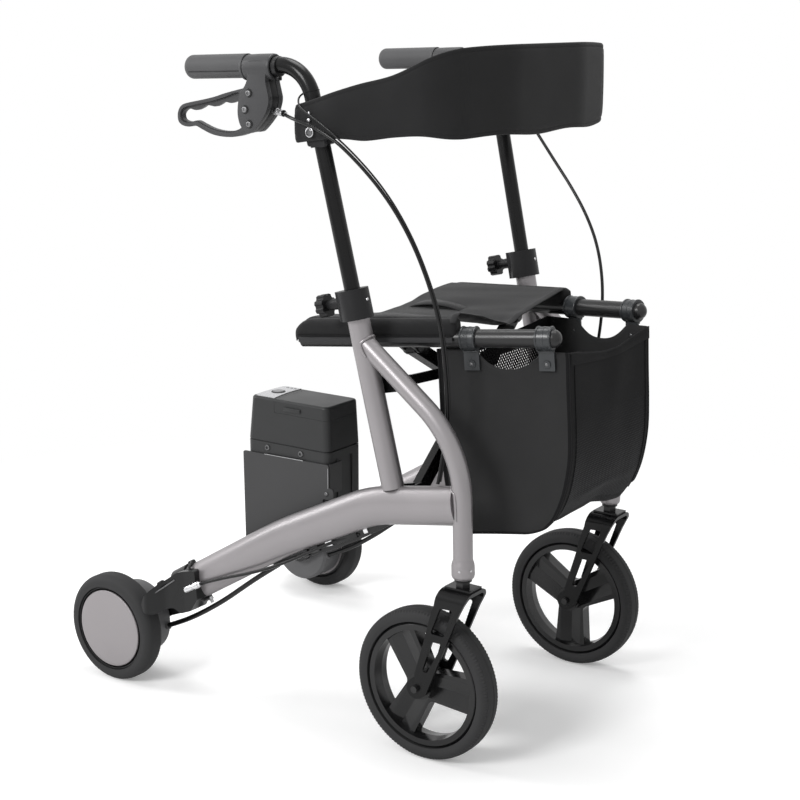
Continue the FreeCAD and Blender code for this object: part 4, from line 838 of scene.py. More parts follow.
def sleeve_pad(side_name):
    """The padded sleeve: squarish rings round the rail, swollen, with a sewn channel along both sides."""
    side = SIDES[side_name]
    squarish = 3.4
    stops = [0, 2, 6, 12, 24] + [36 + 12 * k for k in range(16)] + [224, 232, 238, 243, 247]
    table = []
    for from_front in stops:
        distance = SLEEVE_FRONT + from_front
        tuck = 1.5 * (1 - min(from_front / 8, 1)) ** 2
        tuck += 2.5 * (1 - min((SLEEVE_REAR - distance) / 10, 1)) ** 2
        half_width = 14.2 - tuck
        top = SLEEVE_TOP - sleeve_drop(distance) - tuck * 0.5
        low = SLEEVE_LOW + tuck * 0.5
        ring = []
        for k in range(24):
            c, s = math.cos(2 * math.pi * k / 24), math.sin(2 * math.pi * k / 24)
            size = (abs(c) ** squarish + abs(s) ** squarish) ** (-1 / squarish)
            up = (top + low) / 2 + (top - low) / 2 * s * size
            ring.append(on_rail(distance, half_width * c * size, up, side))
        table.append(ring)
    pad = net("seat_pad_" + side_name, table, pad_cloth, tube=True)
    face_outward(pad, holes=True, triangles=True)
    swell(pad, 0.0055)
    channel_up, channel_half, channel_depth = 5.0, 1.6, 1.3
    for vertex in pad.data.vertices:
        p = vertex.co / MM
        round_rail = Vector((p.x, side * p.y, p.z)) - RAIL_TIP
        up, out = round_rail.dot(RAIL_UP), round_rail.dot(RAIL_SIDE)
        pinch = math.exp(-((up - channel_up) / channel_half) ** 2) * channel_depth
        if abs(out) > 9:
            way = RAIL_SIDE * math.copysign(1, out)
            vertex.co -= mm(way.x, side * way.y, way.z) * pinch
    apply_modifier(pad, "SUBSURF", levels=1)
    pad.data.shade_smooth()
    return pad


def make_sleeve(side_name):
    """Padded sleeve over a seat rail, with a flat fastening strip and piping."""
    side = SIDES[side_name]
    pad = sleeve_pad(side_name)
    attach(pad, "rail_" + side_name)
    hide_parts("seat_sleeve_" + side_name)

    # fastening strip along the outer side
    strip = []
    for k in range(60):
        distance = 150 + 3.97 * k
        row = []
        for up, out in ((4.2, 15.6), (3.8, 16.5), (0.5, 16.9), (-3.0, 16.4), (-3.4, 15.4)):
            sag = 0.4 * ripple((distance * MM, up * MM, side), 40)
            row.append(on_rail(distance, out + sag, up, side))
        strip.append(row)
    tape = net("seat_strip_" + side_name, strip, strip_tape, tube=True)
    finish(tape, "seat_strip_" + side_name, strip_tape, "rail_" + side_name, 60)

    # piping along the seam, and round the rear end
    seam = [(152 + 20 * k, 16.4, 5.2) for k in range(12)] + [(386, 14.5, 6), (391.5, 6, 8), (392, -6, 8)]
    end = [(390, 10, -2), (390.5, 10.5, 6), (387.5, 10, 14), (381, 8, 22), (381, -8, 22), (387.5, -10, 14),
           (390.5, -10.5, 6), (390, -10, -2)]
    for name, route in (("seat_piping_", seam), ("seat_end_piping_", end)):
        piping = round_cord(name + side_name, [on_rail(d, out, up, side) for d, out, up in route],
                            SLEEVE_PIPING * MM, binding_tape, 8)
        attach(piping, "rail_" + side_name)


# ---------------------------------------------------------------- bag
BAG_REAR = curve_through([(312, 250), (318, 243.5), (330, 239), (360, 231), (391, 224.5), (450, 220.5),
                          (520, 216.5), (582, 213)])
BAG_FRONT = curve_through([(312, 350), (320, 364), (331, 374), (350, 385), (380, 397), (410, 403.5),
                           (440, 406.5), (480, 405.5), (530, 402.5), (582, 400)])
BAG_LIFT = curve_through([(0, 0), (0.13, 9), (0.42, 11.5), (0.56, 13.5), (0.73, 3), (0.89, -1.5), (1, 0)])
BAG_LOOKS = (bag_cloth, bag_shaded_front_cloth, net_cloth, pocket_net)
# FRONT takes the darker cloth: painted shade on the front wall, floor, rear wall's border and corners.
SIDE, FRONT, REAR_NET, POCKET = range(4)  # places in BAG_LOOKS


def bag_wall(x):
    """Half the bag's width, which follows the seat rails."""
    return RAIL_TIP.y + (RAIL_TIP.x - x) * RAIL_SPREAD - 3.0


def bag_point(a, b, c):
    """A point of the bag from three shares: rear to front, right to left, and floor to top."""
    floor = 314 + 16 * max(0.0, a - 0.15)
    brim = 571 + 11 * a
    z = floor + (brim - floor) * c
    x = BAG_REAR(z) + (BAG_FRONT(z) - BAG_REAR(z)) * a
    side = 2 * b - 1
    y = side * bag_wall(x)
    # the cloth hangs: walls belly a little, the floor sags, the front's lower edge is drawn up
    belly = math.sin(math.pi * min(c * 1.05, 1.0)) * math.sin(math.pi * a)
    if b in (0.0, 1.0):
        y -= side * 2.0 * (1 - belly) * (1 if 0 < c < 1 else 0)
        loose = min(1, 6 * a * (1 - a)) * min(1, 5 * c * (1 - c))
        y += side * 1.6 * ripple((x * MM, side, z * MM), 11) * loose
    mid = math.sin(math.pi * b)
    if a == 1.0:
        x -= 3.5 * math.sin(math.pi * c) * mid * 0.6
        x += 3.0 * ripple((y * 1.5 * MM, z * MM, 3.1), 13) * mid
        x += 2.4 * math.exp(-((c - 0.14 - 0.05 * b) / 0.03) ** 2) * mid
        z -= 14.0 * mid ** 1.5 * eased((c - 0.86) / 0.14)
        z += BAG_LIFT(b) * eased((0.3 - c) / 0.3)
    if a == 0.0:
        x += 2.0 * math.sin(math.pi * c) * mid
        z -= 8.0 * mid * eased((c - 0.9) / 0.1)
    if c == 0.0:
        z += BAG_LIFT(b) * a ** 3 if a < 1 else 0.0
        z -= 1.0 * mid * math.sin(math.pi * a)
    # lower front corners are rounded off
    corner = eased((a - 0.86) / 0.14) * eased((0.1 - c) / 0.1)
    z += corner * (7.0 * eased((0.2 - b) / 0.2) + 12.0 * eased((b - 0.86) / 0.14) ** 2)
    return mm(x, y, z)


def bag_dip(x):
    """How far a side panel's upper edge dips between the two clips."""
    span = abs(x - 316.0) / 46.0
    return 25.0 * (1 - span ** 2.4) if span < 1 else 0.0


def make_bag():
    """One lofted shell, open at the top, with net in its rear wall and a pocket on its front."""
    across, deep, tall = 40, 30, 44
    dip_rows = 14
    shape = bmesh.new()
    known = {}

    def corner(i, j, k):
        key = (i, j, k)
        if key not in known:
            p = bag_point(i / deep, j / across, k / tall)
            if j in (0, across) and k > tall - dip_rows:
                p.z -= bag_dip(p.x / MM) * MM * ((k - (tall - dip_rows)) / dip_rows)
            known[key] = shape.verts.new(p)
        return known[key]

    def face(material, *keys):
        made = shape.faces.new([corner(*key) for key in keys])
        made.material_index = material

    for j in range(across):
        inner = 2 <= j <= across - 3
        for k in range(tall):
            on_pocket = inner and 2 <= k < 27
            on_net = inner and 3 <= k <= tall - 3
            face(POCKET if on_pocket else FRONT, (deep, j, k), (deep, j + 1, k), (deep, j + 1, k + 1),
                 (deep, j, k + 1))
            face(REAR_NET if on_net else FRONT, (0, j + 1, k), (0, j, k), (0, j, k + 1), (0, j + 1, k + 1))
    for i in range(deep):
        for j in range(across):
            face(FRONT, (i, j, 0), (i, j + 1, 0), (i + 1, j + 1, 0), (i + 1, j, 0))
        for k in range(tall):
            for j in (0, across):
                face(SIDE if 1 <= i < deep - 1 else FRONT, (i, j, k), (i + 1, j, k), (i + 1, j, k + 1),
                     (i, j, k + 1))
    bmesh.ops.recalc_face_normals(shape, faces=shape.faces[:])
    mesh = bpy.data.meshes.new("bag_shell")
    shape.to_mesh(mesh)
    shape.free()
    bag = linked("bag_shell", mesh)
    for material in BAG_LOOKS:
        mesh.materials.append(material)
    centre = mm(310, 0, 450)
    outward = sum(1 if p.normal.dot(p.center - centre) > 0 else -1 for p in mesh.polygons)
    if outward < 0:
        mesh.flip_normals()
    apply_modifier(bag, "SUBSURF", levels=1)
    apply_modifier(bag, "SOLIDIFY", thickness=0.0014, offset=-1.0)
    bag.data.shade_smooth()
    return bag


def bag_trims(bag):
    """Bindings, seams and the hems along the front's and the rear's upper edges, joined to the shell so that
    they move with it.
    """
    pieces = []
    inset = 0.7
    for b in (0.0, 1.0):
        inward = -(2 * b - 1) * inset
        edge = [bag_point(1.0, b, 1 - k / 23) + mm(-inset, inward, 0) for k in range(23)]
        edge += [bag_point(1 - i / 12, b, 0.0) + mm(0, inward, 0.6) for i in range(12)]
        edge += [bag_point(0.0, b, k / 15) + mm(inset, inward, 0) for k in range(16)]
        pieces.append(round_cord("bag_piping", edge, 0.0030, binding_tape, 8))
    # second seam just round the corner, on the front wall
    for b in (0.055, 0.945):
        line = [bag_point(1.0, b, 1 - k / 20) + mm(0.6, 0, 0) for k in range(20)]
        pieces.append(round_cord("bag_seam", line, 0.0013, binding_tape, 6))
    # hems along the front's and the rear's upper edge: a tape folded over the edge
    wall_height = 255
    for a, reach in ((1.0, 1.0), (0.0, -1.0)):
        fold = ((reach * 1.3, 17.0), (reach * 1.7, 16.0), (reach * 1.6, 2.0), (reach * 0.4, -0.9),
                (-reach * 1.8, 1.5), (-reach * 2.2, 15.5), (-reach * 1.8, 16.5))
        table = []
        for j in range(41):
            table.append([bag_point(a, j / 40, min(1 - down / wall_height, 1.0))
                          + mm(out, 0, 0.9 if down < 0 else 0) for out, down in fold])
        pieces.append(net("bag_hem", table, bag_shaded_front_cloth if a else binding_tape))
    for piece in pieces:
        face_outward(piece)
        piece.data.shade_smooth()
    return merged([bag] + pieces)


def place_bag():
    """The whole bag, which hangs from the seat rails and rides on the right one."""
    bag = bag_trims(make_bag())
    bag.name = "bag_shell"
    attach(bag, "rail_right")
    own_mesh(bag)
    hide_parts("bag_body", "bag_side_right", "bag_side_left")


# ---------------------------------------------------------------- cables
UPPER_RIGHT = [(14.3, 224.4, 886), (35, 259, 887), (111, 260, 867), (156, 249, 828), (192, 235, 783),
               (219, 221, 731), (237, 209, 677), (251, 201, 622), (257, 197, 568), (259, 193, 512),
               (257, 192, 458), (252, 204.1, 399)]
UPPER_LEFT = [(14.3, 224.4, 886), (35, 259, 886), (99, 260, 867), (134, 246, 834), (170, 235, 797),
              (205, 227, 760), (236, 221, 720), (259, 215, 678), (272, 210, 632), (277, 205, 584),
              (274, 201, 534), (267, 197, 484), (259, 195, 438), (252, 204.1, 399)]
REAR_BRAKE = [(-161.7, 22, 177.4), (-122, 21, 193.5), (-79, 19, 208), (-37, 14, 224), (5, 10, 244.5),
              (48, 6, 269), (88, 3, 290), (125, 0, 305.5)]
MOTOR = [(-253.5, 3, 81.5), (-223, 1, 95), (-186, -1, 116), (-153, -3, 137.5), (-130, -5, 154),
         (-101, -5, 176), (-66, -5, 202), (-31, -5, 226)]
SENSOR = [(52, 232, 914), (54, 246, 911), (63, 257.5, 899), (79, 260.5, 890), (112, 260.5, 872.5),
          (157, 250, 834), (193.5, 236, 789), (221, 222, 736), (239.5, 209.5, 681), (254, 200.5, 625),
          (260.5, 196, 570), (262.5, 192, 513), (260, 191, 459), (254.5, 201.5, 402)]
HOSE_WIDE, MOTOR_WIDE, SENSOR_WIDE = 4.8, 7.8, 2.6


def make_cables():
    """Brake hoses, motor leads and the grip's sensor lead along their routes."""
    for side_name, side in SIDES.items():
        handle, base = "handlebar_" + side_name, "frame_" + side_name
        route = UPPER_RIGHT if side < 0 else UPPER_LEFT
        cable = round_cord("brake_hose_" + side_name, [mm(x, side * y, z) for x, y, z in route],
                           HOSE_WIDE * MM, cable_black)
        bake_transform(cable)
        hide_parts("brake_cable_" + side_name)
        rear = round_cord("rear_brake_hose_" + side_name, [leaned(x, o, z, side) for x, o, z in REAR_BRAKE],
                          HOSE_WIDE * MM, cable_black)
        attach(rear, base)
        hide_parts("rear_brake_cable_" + side_name)
        motor = round_cord("motor_lead_" + side_name, [leaned(x, o, z, side) for x, o, z in MOTOR],
                           MOTOR_WIDE * MM, cable_black, 14)
        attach(motor, base)
        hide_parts("motor_cable_" + side_name)
    sensor = round_cord("grip_sensor_lead", [mm(x, -y, z) for x, y, z in SENSOR], SENSOR_WIDE * MM,
                        cable_black, 8)
    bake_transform(sensor)


# ---------------------------------------------------------------- brake housings and levers
# (x, height over the handle's corner) lines in the side plane
HOUSING_FACE = [(-33.6, 2), (-34.2, -8), (-34.8, -16.4), (-36.8, -23.9), (-41.9, -31.6), (-48.2, -36.5),
                (-50.5, -42.7), (-53, -52.8), (-54.5, -63), (-54.2, -71.5), (-51.8, -80.5), (-47, -87.5),
                (-40.5, -92.3), (-33.5, -92.8), (-25.7, -87.3), (-14.3, -76.3), (-5.2, -65.5), (-0.4, -54.4),
                (1.2, -46.1), (-0.2, -37.9), (-3.2, -24.7), (-3.0, -16.5), (-1.0, -9), (0.5, 0), (-8, 5),
                (-25, 5)]
HOUSING_SPINE = [(-33, 3), (-33, -12), (-26, -17), (-14, -19), (-10.5, -26), (-9.5, -40), (-10, -54),
                 (-15, -66), (-25, -79), (-36, -88), (-38, -92), (-33.5, -92.3), (-25.7, -87), (-14.3, -76),
                 (-5.5, -65.3), (-0.9, -54.4), (0.7, -46.1), (-0.7, -37.9), (-3.7, -24.7), (-3.5, -16.5),
                 (-1.5, -9), (0, 0), (-8, 4)]
LEVER_EDGE = [(-30, -29.5), (-51.6, -33.7), (-82.6, -40.6), (-104.8, -46.7), (-129.1, -51.6),
              (-151.8, -55.7), (-164, -59.0), (-171, -65.0), (-174.4, -74), (-173, -83.0), (-165.5, -88.2),
              (-153, -89.6), (-141, -87.8), (-128.8, -92.3), (-115.9, -97.0), (-103, -99.8),
              (-86.4, -101.0), (-68.1, -100.0), (-52, -96), (-36, -90), (-24.5, -78), (-20.5, -60),
              (-22, -42)]
LEVER_OPENING = [(-60, -39.3), (-82, -45.3), (-104, -51.3), (-128, -56.2), (-150, -60.3), (-161, -62.8),
                 (-167.3, -67.3), (-169.8, -74), (-168.2, -80), (-162.5, -83.6), (-153, -84.3), (-141, -82.4),
                 (-129, -86.6), (-115, -91.4), (-101, -94.2), (-86, -95.2), (-70, -93.6), (-58, -88.5),
                 (-52, -76), (-51, -52)]
FINGER_OPENING = [(-66, -52), (-76.2, -54.6), (-88.9, -53.3), (-97, -57), (-105.7, -60.2), (-114, -59.4),
                  (-122.4, -58.9), (-131, -63), (-139.5, -66.2), (-147, -66), (-152.7, -64.8), (-160, -66),
                  (-166, -70), (-168.4, -75), (-167, -79.5), (-161, -82.4), (-152, -82.9), (-141, -80.9),
                  (-129, -85.0), (-115, -89.8), (-101, -92.6), (-86, -93.4), (-71, -91.8), (-59.5, -86.5),
                  (-54, -73), (-54, -58)]
HOUSING_SCREWS = [(-32.8, -38.8), (-40.7, -61.0), (-34.2, -80.6)]
# The core shows between the two side plates in darker plastic than the shell: painted shade of the front
# flank.
HOUSING_HALF, HOUSING_SPLIT = 15.6, 7.0   # half width of the shell, and where its core shows


def closed_line(points):
    """A smooth closed line through every point."""
    count = 4
    pts = [Vector(p) for p in points]
    line = []
    for i in range(len(pts)):
        a, b, c, d = (pts[(i + k) % len(pts)] for k in (-1, 0, 1, 2))
        for k in range(count):
            t = k / count
            line.append(0.5 * (2 * b + (c - a) * t + (2 * a - 5 * b + 4 * c - d) * t * t
                               + (3 * b - 3 * c + d - a) * t ** 3))
    return line


def side_plate(loops, inner, outer, bevel, side):
    """A plate in the side plane: flat closed lines given a thickness, then their edges eased. Millimetres."""
    curve = bpy.data.curves.new("plate", "CURVE")
    curve.dimensions = "2D"
    curve.fill_mode = "BOTH"
    for loop in loops:
        spline = curve.splines.new("POLY")
        spline.points.add(len(loop) - 1)
        for knot, (x, z) in zip(spline.points, loop):
            knot.co = (x, z, 0, 1)
        spline.use_cyclic_u = True
    curve.extrude = (outer - inner) / 2
    mesh = flattened(linked("plate", curve))
    for vertex in mesh.vertices:
        x, z, w = vertex.co
        vertex.co = leaned(x, w + (inner + outer) / 2, HANDLE_Z + z, side)
    plate = linked("plate", mesh)
    face_outward(plate, doubles=TOUCHING)
    apply_modifier(plate, "BEVEL", width=bevel * MM, segments=3, limit_method="ANGLE",
                   angle_limit=math.radians(55))
    return plate


def make_brake_handle(side_name):
    """Brake housing with its screws, a core darker than its shell as painted shade of the front flank, and
    the lever that hangs in it.
    """
    side = SIDES[side_name]
    handle = "handlebar_" + side_name
    face, spine = closed_line(HOUSING_FACE), closed_line(HOUSING_SPINE)
    ring = turned(leaned(3.5, 0, 948.1, side), leaned_way(-1, 0, -HANDLE_DROOP, side),
                  [(2.6, 11.4), (2.4, 13.6), (0.4, 14.2), (0, 15.0), (0.5, 16.7), (1.8, 17.5), (4, 17.7),
                   (26, 17.7), (44, 17.4), (46.4, 17.0), (47.6, 15.8), (47.7, 14.5)], 48)
    parts = [ring, side_plate([face], HOUSING_SPLIT, HOUSING_HALF, 1.6, side),
             side_plate([face], -HOUSING_HALF, -HOUSING_SPLIT, 1.6, side)]
    shell = finish(merged(parts), "brake_shell_" + side_name, lever_plastic, handle, 35)
    # the core is made in darker plastic than the shell: painted shade along the housing's front flank
    finish(side_plate([spine], -7.2, 7.2, 0.3, side), "brake_core_painted_shade_" + side_name, plastic, handle, 35)
    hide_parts("brake_housing_" + side_name)
    caps, collars = [], []
    for x, z in HOUSING_SCREWS:
        for face_side in (1, -1):
            at = leaned(x, 15.2 * face_side, HANDLE_Z + z, side)
            out = leaned_way(0, face_side, 0, side)
            collars.append(turned(at, out, [(0, 6.0), (0.9, 5.9), (1.4, 5.4), (1.5, 4.4)], 28))
            caps.append(turned(at, out, [(0.8, 4.5), (2.2, 4.4), (3.1, 3.8), (3.5, 2.6), (3.5, 1.7),
                                         (2.6, 1.4)], 24))
    finish(merged(caps), "housing_screws_" + side_name, cap_metal, handle, 35)
    finish(merged(collars), "screw_collars_" + side_name, casting, handle, 35)
    rim = side_plate([closed_line(LEVER_EDGE), closed_line(LEVER_OPENING)], -6.4, 6.4, 1.3, side)
    inset_edge = [(x * 0.995 - 0.4, z * 0.99 - 0.8) for x, z in LEVER_EDGE]
    web = side_plate([closed_line(inset_edge), closed_line(FINGER_OPENING)], -4.6, 2.4, 1.2, side)
    lever = finish(merged([rim, web]), "brake_grip_lever_" + side_name, lever_plastic,
                   "lever_" + side_name, 35)
    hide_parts("brake_lever_" + side_name)


# ---------------------------------------------------------------- fittings on the handles
def make_handle_fittings(side_name):
    """Cable adjuster, tube clamp, stop ring, backrest fixings, knob dish and spring button."""
    side = SIDES[side_name]
    handle, base = "handlebar_" + side_name, "frame_" + side_name

    # cable adjuster: flange, barrel and lock ring
    start = leaned(-3.0, -4.0, 888.2, side)
    way = leaned_way(18, 0, -3, side)
    barrel = turned(start, way, [(-5, 4.9), (0, 4.9), (1.2, 5.2), (2.6, 5.2), (3.2, 4.2), (4.4, 4.0),
                                 (5.0, 4.5), (6.2, 4.5), (6.8, 4.0), (8.0, 4.0), (8.6, 4.5), (9.8, 4.5),
                                 (10.4, 3.9), (13.0, 3.7)], 24)
    finish(barrel, "cable_adjuster_" + side_name, steel, handle, 30)
    lock = turned(start, way, [(12.6, 4.3), (13.0, 4.6), (15.0, 4.6), (15.6, 3.4)], 24)
    finish(lock, "adjuster_ring_" + side_name, plastic, handle, 30)

    # clamp ring on the handle tube in front of the housing, with its screw boss below
    ring_at = leaned(3.5, 0, 948.4, side)
    ring_way = leaned_way(1, 0, HANDLE_DROOP, side)
    ring = turned(ring_at, ring_way, [(0, 11.6), (0.4, 13.2), (1.0, 13.7), (7.5, 13.7), (8.1, 13.2),
                                      (8.5, 11.6)], 36)
    boss = slab(ring_at + ring_way * 0.0042 - mm(0, 0, 15.5), (7.0, 8.0, 6.5), 1.4)
    finish(merged([ring, boss]), "tube_clamp_" + side_name, casting, handle, 30)

    # thin stop ring low on the handle tube
    stop_at = leaned(post_x(916) - 0.5, 0, 916, side)
    stop_way = leaned_way(POST_UP.x, 0, POST_UP.z, side)
    stop = turned(stop_at, stop_way, [(0, 11.1), (0.3, 11.7), (1.7, 11.7), (2.0, 11.1)], 32)
    finish(stop, "tube_stop_" + side_name, satin_black, handle, 30)

    # backrest fixing: one large cap screw and two small studs through the cloth
    out = Vector((0, side, 0))
    screw = turned(mm(79, side * 255.2, 865), out,
                   [(0, 5.6), (1.2, 5.4), (1.8, 4.9), (2.0, 3.9), (1.0, 3.4)], 28)
    finish(screw, "backrest_screw_" + side_name, dull_steel, handle, 40)
    washer = turned(mm(79, side * 255.0, 865), out, [(0, 6.6), (0.7, 6.6), (1.0, 6.2), (1.0, 5.2)], 28)
    finish(washer, "backrest_washer_" + side_name, steel, handle, 40)
    studs = [turned(mm(78, side * 255.0, z), out, [(0, 2.6), (0.9, 2.5), (1.5, 1.6), (1.7, 0.4)], 16)
             for z in (889.5, 881.0)]
    finish(merged(studs), "backrest_studs_" + side_name, steel, handle, 50)

    # knob: dished face and the collar's spring button
    knob_height, knob_reach, pin_reach = 8.5, 58.4, 20.5
    middle_x, middle_z = POST_TOP_X + POST_UP.x * knob_height, POST_TOP_Z + POST_UP.z * knob_height
    face = leaned(middle_x - POST_ACROSS.x * knob_reach, 0, middle_z - POST_ACROSS.z * knob_reach, side)
    back = leaned_way(-POST_ACROSS.x, 0, -POST_ACROSS.z, side)
    rim = turned(face, back,
                 [(-0.4, 12.6), (0.9, 12.3), (1.3, 11.6), (1.3, 9.9), (0.5, 9.2), (-0.1, 6.0)], 40)
    finish(rim, "knob_dish_" + side_name, plastic, "knob_" + side_name, 40)
    pin_at = leaned(middle_x + POST_ACROSS.x * pin_reach, 0, middle_z + POST_ACROSS.z * pin_reach, side)
    pin = turned(pin_at, -back, [(0, 2.3), (1.6, 2.3), (2.3, 1.8), (2.6, 0.9)], 20)
    finish(pin, "spring_button_" + side_name, steel, base, 50)


def make_grip_lines(side_name):
    """Moulding line along the grip and its raised front lip."""
    side = SIDES[side_name]
    handle = "handlebar_" + side_name
    way = leaned_way(-1, 0, -HANDLE_DROOP, side)
    drop = leaned_way(HANDLE_DROOP, 0, -1, side)
    out = way.cross(drop)
    if out.y * side < 0:
        out.negate()
    start = leaned(-44.3, 0, 946.4, side)
    below, grip_radius = math.radians(14), 16.45
    radial = out * math.cos(below) + drop * math.sin(below)
    line = [start + way * reach * MM + radial * (grip_radius * MM) for reach in (1.5, 30, 60, 90, 97)]
    seam = round_cord("grip_seam_" + side_name, line, 0.0009, plastic, 6)
    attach(seam, handle)
    lip = turned(start, way,
                 [(0.0, 16.2), (0.2, 17.2), (1.0, 17.6), (3.2, 17.5), (4.4, 16.6), (4.5, 15.9)], 40)
    finish(lip, "grip_lip_" + side_name, grip_rubber, handle, 50)


# ---------------------------------------------------------------- fittings on the seat rails
def rail_way(side, outward=0.0, back=0.0, up=0.0):
    """A direction in a seat rail's own axes."""
    p = RAIL_BACK * back + RAIL_SIDE * outward + RAIL_UP * up
    return Vector((p.x, side * p.y, p.z)).normalized()


def make_rail_fittings(side_name):
    """Ribs, rivets and washers of the two clips on a seat rail."""
    side = SIDES[side_name]
    body = "rail_" + side_name
    outward = rail_way(side, outward=1)
    back = rail_way(side, back=1)
    turn = Matrix((back, outward, rail_way(side, up=1))).transposed().to_quaternion()
    ribs, rivets, plates = [], [], []
    for place in (12.0, 119.5):
        for at in (0.2, 19.0):
            ribs.append(turned(on_rail(place + at, 0, 0, side), back,
                               [(0, 15.7), (0.3, 16.6), (0.9, 16.9), (2.0, 16.9), (2.6, 16.6),
                                (2.8, 15.7)], 40))
        ribs.append(turned(on_rail(place + 9.6, 0, 0, side), back,
                           [(0, 15.7), (0.3, 16.2), (2.5, 16.2), (2.8, 15.7)], 40))
        for out, face in ((1.3, 1), (-5.2, -1)):
            rivets.append(turned(on_rail(place + 11, out, -35, side), outward * face,
                                 [(0, 2.7), (0.5, 2.7), (1.1, 2.3), (1.5, 1.5), (1.6, 0.6)], 20))
            plates.append(turned(on_rail(place + 11, out - 0.6 * face, -35, side), outward * face,
                                 [(0, 5.4), (0.8, 5.4), (1.2, 4.9), (1.2, 3.8)], 24))
        plates.append(slab(on_rail(place + 11, 0.7, -17.5, side), (23.0, 3.6, 2.2), 0.6, turn))
    finish(merged(ribs), "clip_ribs_" + side_name, clip_plastic, body, 30)
    finish(merged(rivets), "clip_rivets_" + side_name, dull_steel, body, 50)
    finish(merged(plates), "clip_washers_" + side_name, clip_plastic, body, 30)


# ---------------------------------------------------------------- wheels
def knurled_tyre(side_name):
    """Solid tyre: a section drawn round the axle, with fine ribs pressed into both shoulders."""
    low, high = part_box("caster_tyre_" + side_name)
    centre = (low + high) / 2
    section = [(-16.0, 92.0), (-17.2, 96.5), (-17.5, 100.5), (-17.1, 104.0), (-15.6, 106.9), (-13.2, 108.5),
               (-12.4, 107.9), (-11.6, 108.9), (-7.5, 109.7), (-2.2, 109.95), (-1.5, 109.3), (1.5, 109.3),
               (2.2, 109.95), (7.5, 109.7), (11.6, 108.9), (12.4, 107.9), (13.2, 108.5), (15.6, 106.9),
               (17.1, 104.0), (17.5, 100.5), (17.2, 96.5), (16.0, 92.0)]
    steps, rib_depth = 264, 0.9
    deselect()
    bpy.ops.mesh.primitive_circle_add(vertices=len(section), radius=0.01, fill_type="NOTHING",
                                      location=(0, 0, 0))
    tyre = bpy.context.object
    for vertex, (across, radius) in zip(tyre.data.vertices, section):
        vertex.co = centre + mm(0, across, radius)
    bpy.ops.object.mode_set(mode="EDIT")
    bpy.ops.mesh.select_all(action="SELECT")
    bpy.ops.mesh.spin(steps=steps, angle=2 * math.pi, center=centre, axis=(0, 1, 0))
    bpy.ops.object.mode_set(mode="OBJECT")
    face_outward(tyre, doubles=0.00002)
    for vertex in tyre.data.vertices:
        p = vertex.co - centre
        radius, across = math.hypot(p.x, p.z) / MM, abs(p.y) / MM
        odd = round(math.atan2(p.x, p.z) / (2 * math.pi / steps)) % 2
        if odd and 103.0 < radius < 108.7 and across > 12.9:
            vertex.co.y -= math.copysign(rib_depth, p.y) * MM * (1.0 if radius < 108 else 0.5)
            vertex.co.x -= p.x / radius * 0.7
            vertex.co.z -= p.z / radius * 0.7
    finish(tyre, "caster_tread_" + side_name, tyre_rubber, "caster_wheel_" + side_name, 28)
    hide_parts("caster_tyre_" + side_name)


def rear_disc(side_name):
    """Hub shell of the driven wheel: flat crowned disc, deep groove, and the rim lip outside it."""
    side = SIDES[side_name]
    centre = mm(REAR_AXLE_X, side * 242.0, REAR_AXLE_Z)
    out = Vector((0, side, 0))
    shell = turned(centre, out, [(0, 7.2), (0, 63.0), (3, 66.9), (32.0, 66.9), (33.0, 66.3), (33.4, 65.2),
                                 (33.2, 64.4), (28.5, 63.6), (28.0, 62.6), (28.4, 61.8), (34.2, 61.0),
                                 (34.9, 60.3), (35.3, 58.8), (35.6, 54.0), (35.9, 40.0), (36.0, 20.0),
                                 (36.0, 4.0)], 96)
    finish(shell, "rear_hub_" + side_name, disc_finish, "rear_wheel_" + side_name, 30)
    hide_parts("rear_wheel_" + side_name)


TRAY = [(-58, 219), (-20, 233), (22, 249), (83, 275), (131, 301), (172, 325), (186, 334), (176, 336),
        (139, 324), (126, 320), (100, 308), (78, 298), (60, 290), (22, 270), (-20, 250), (-58, 232)]


def outer_skin(node, x, z, side):
    """Where a line of sight from outside meets a solid, at a place in the side view."""
    seen, place, _, _ = nodes[node].ray_cast(mm(x, side * 420, z), Vector((0, -side, 0)), distance=0.4)
    return place if seen else None


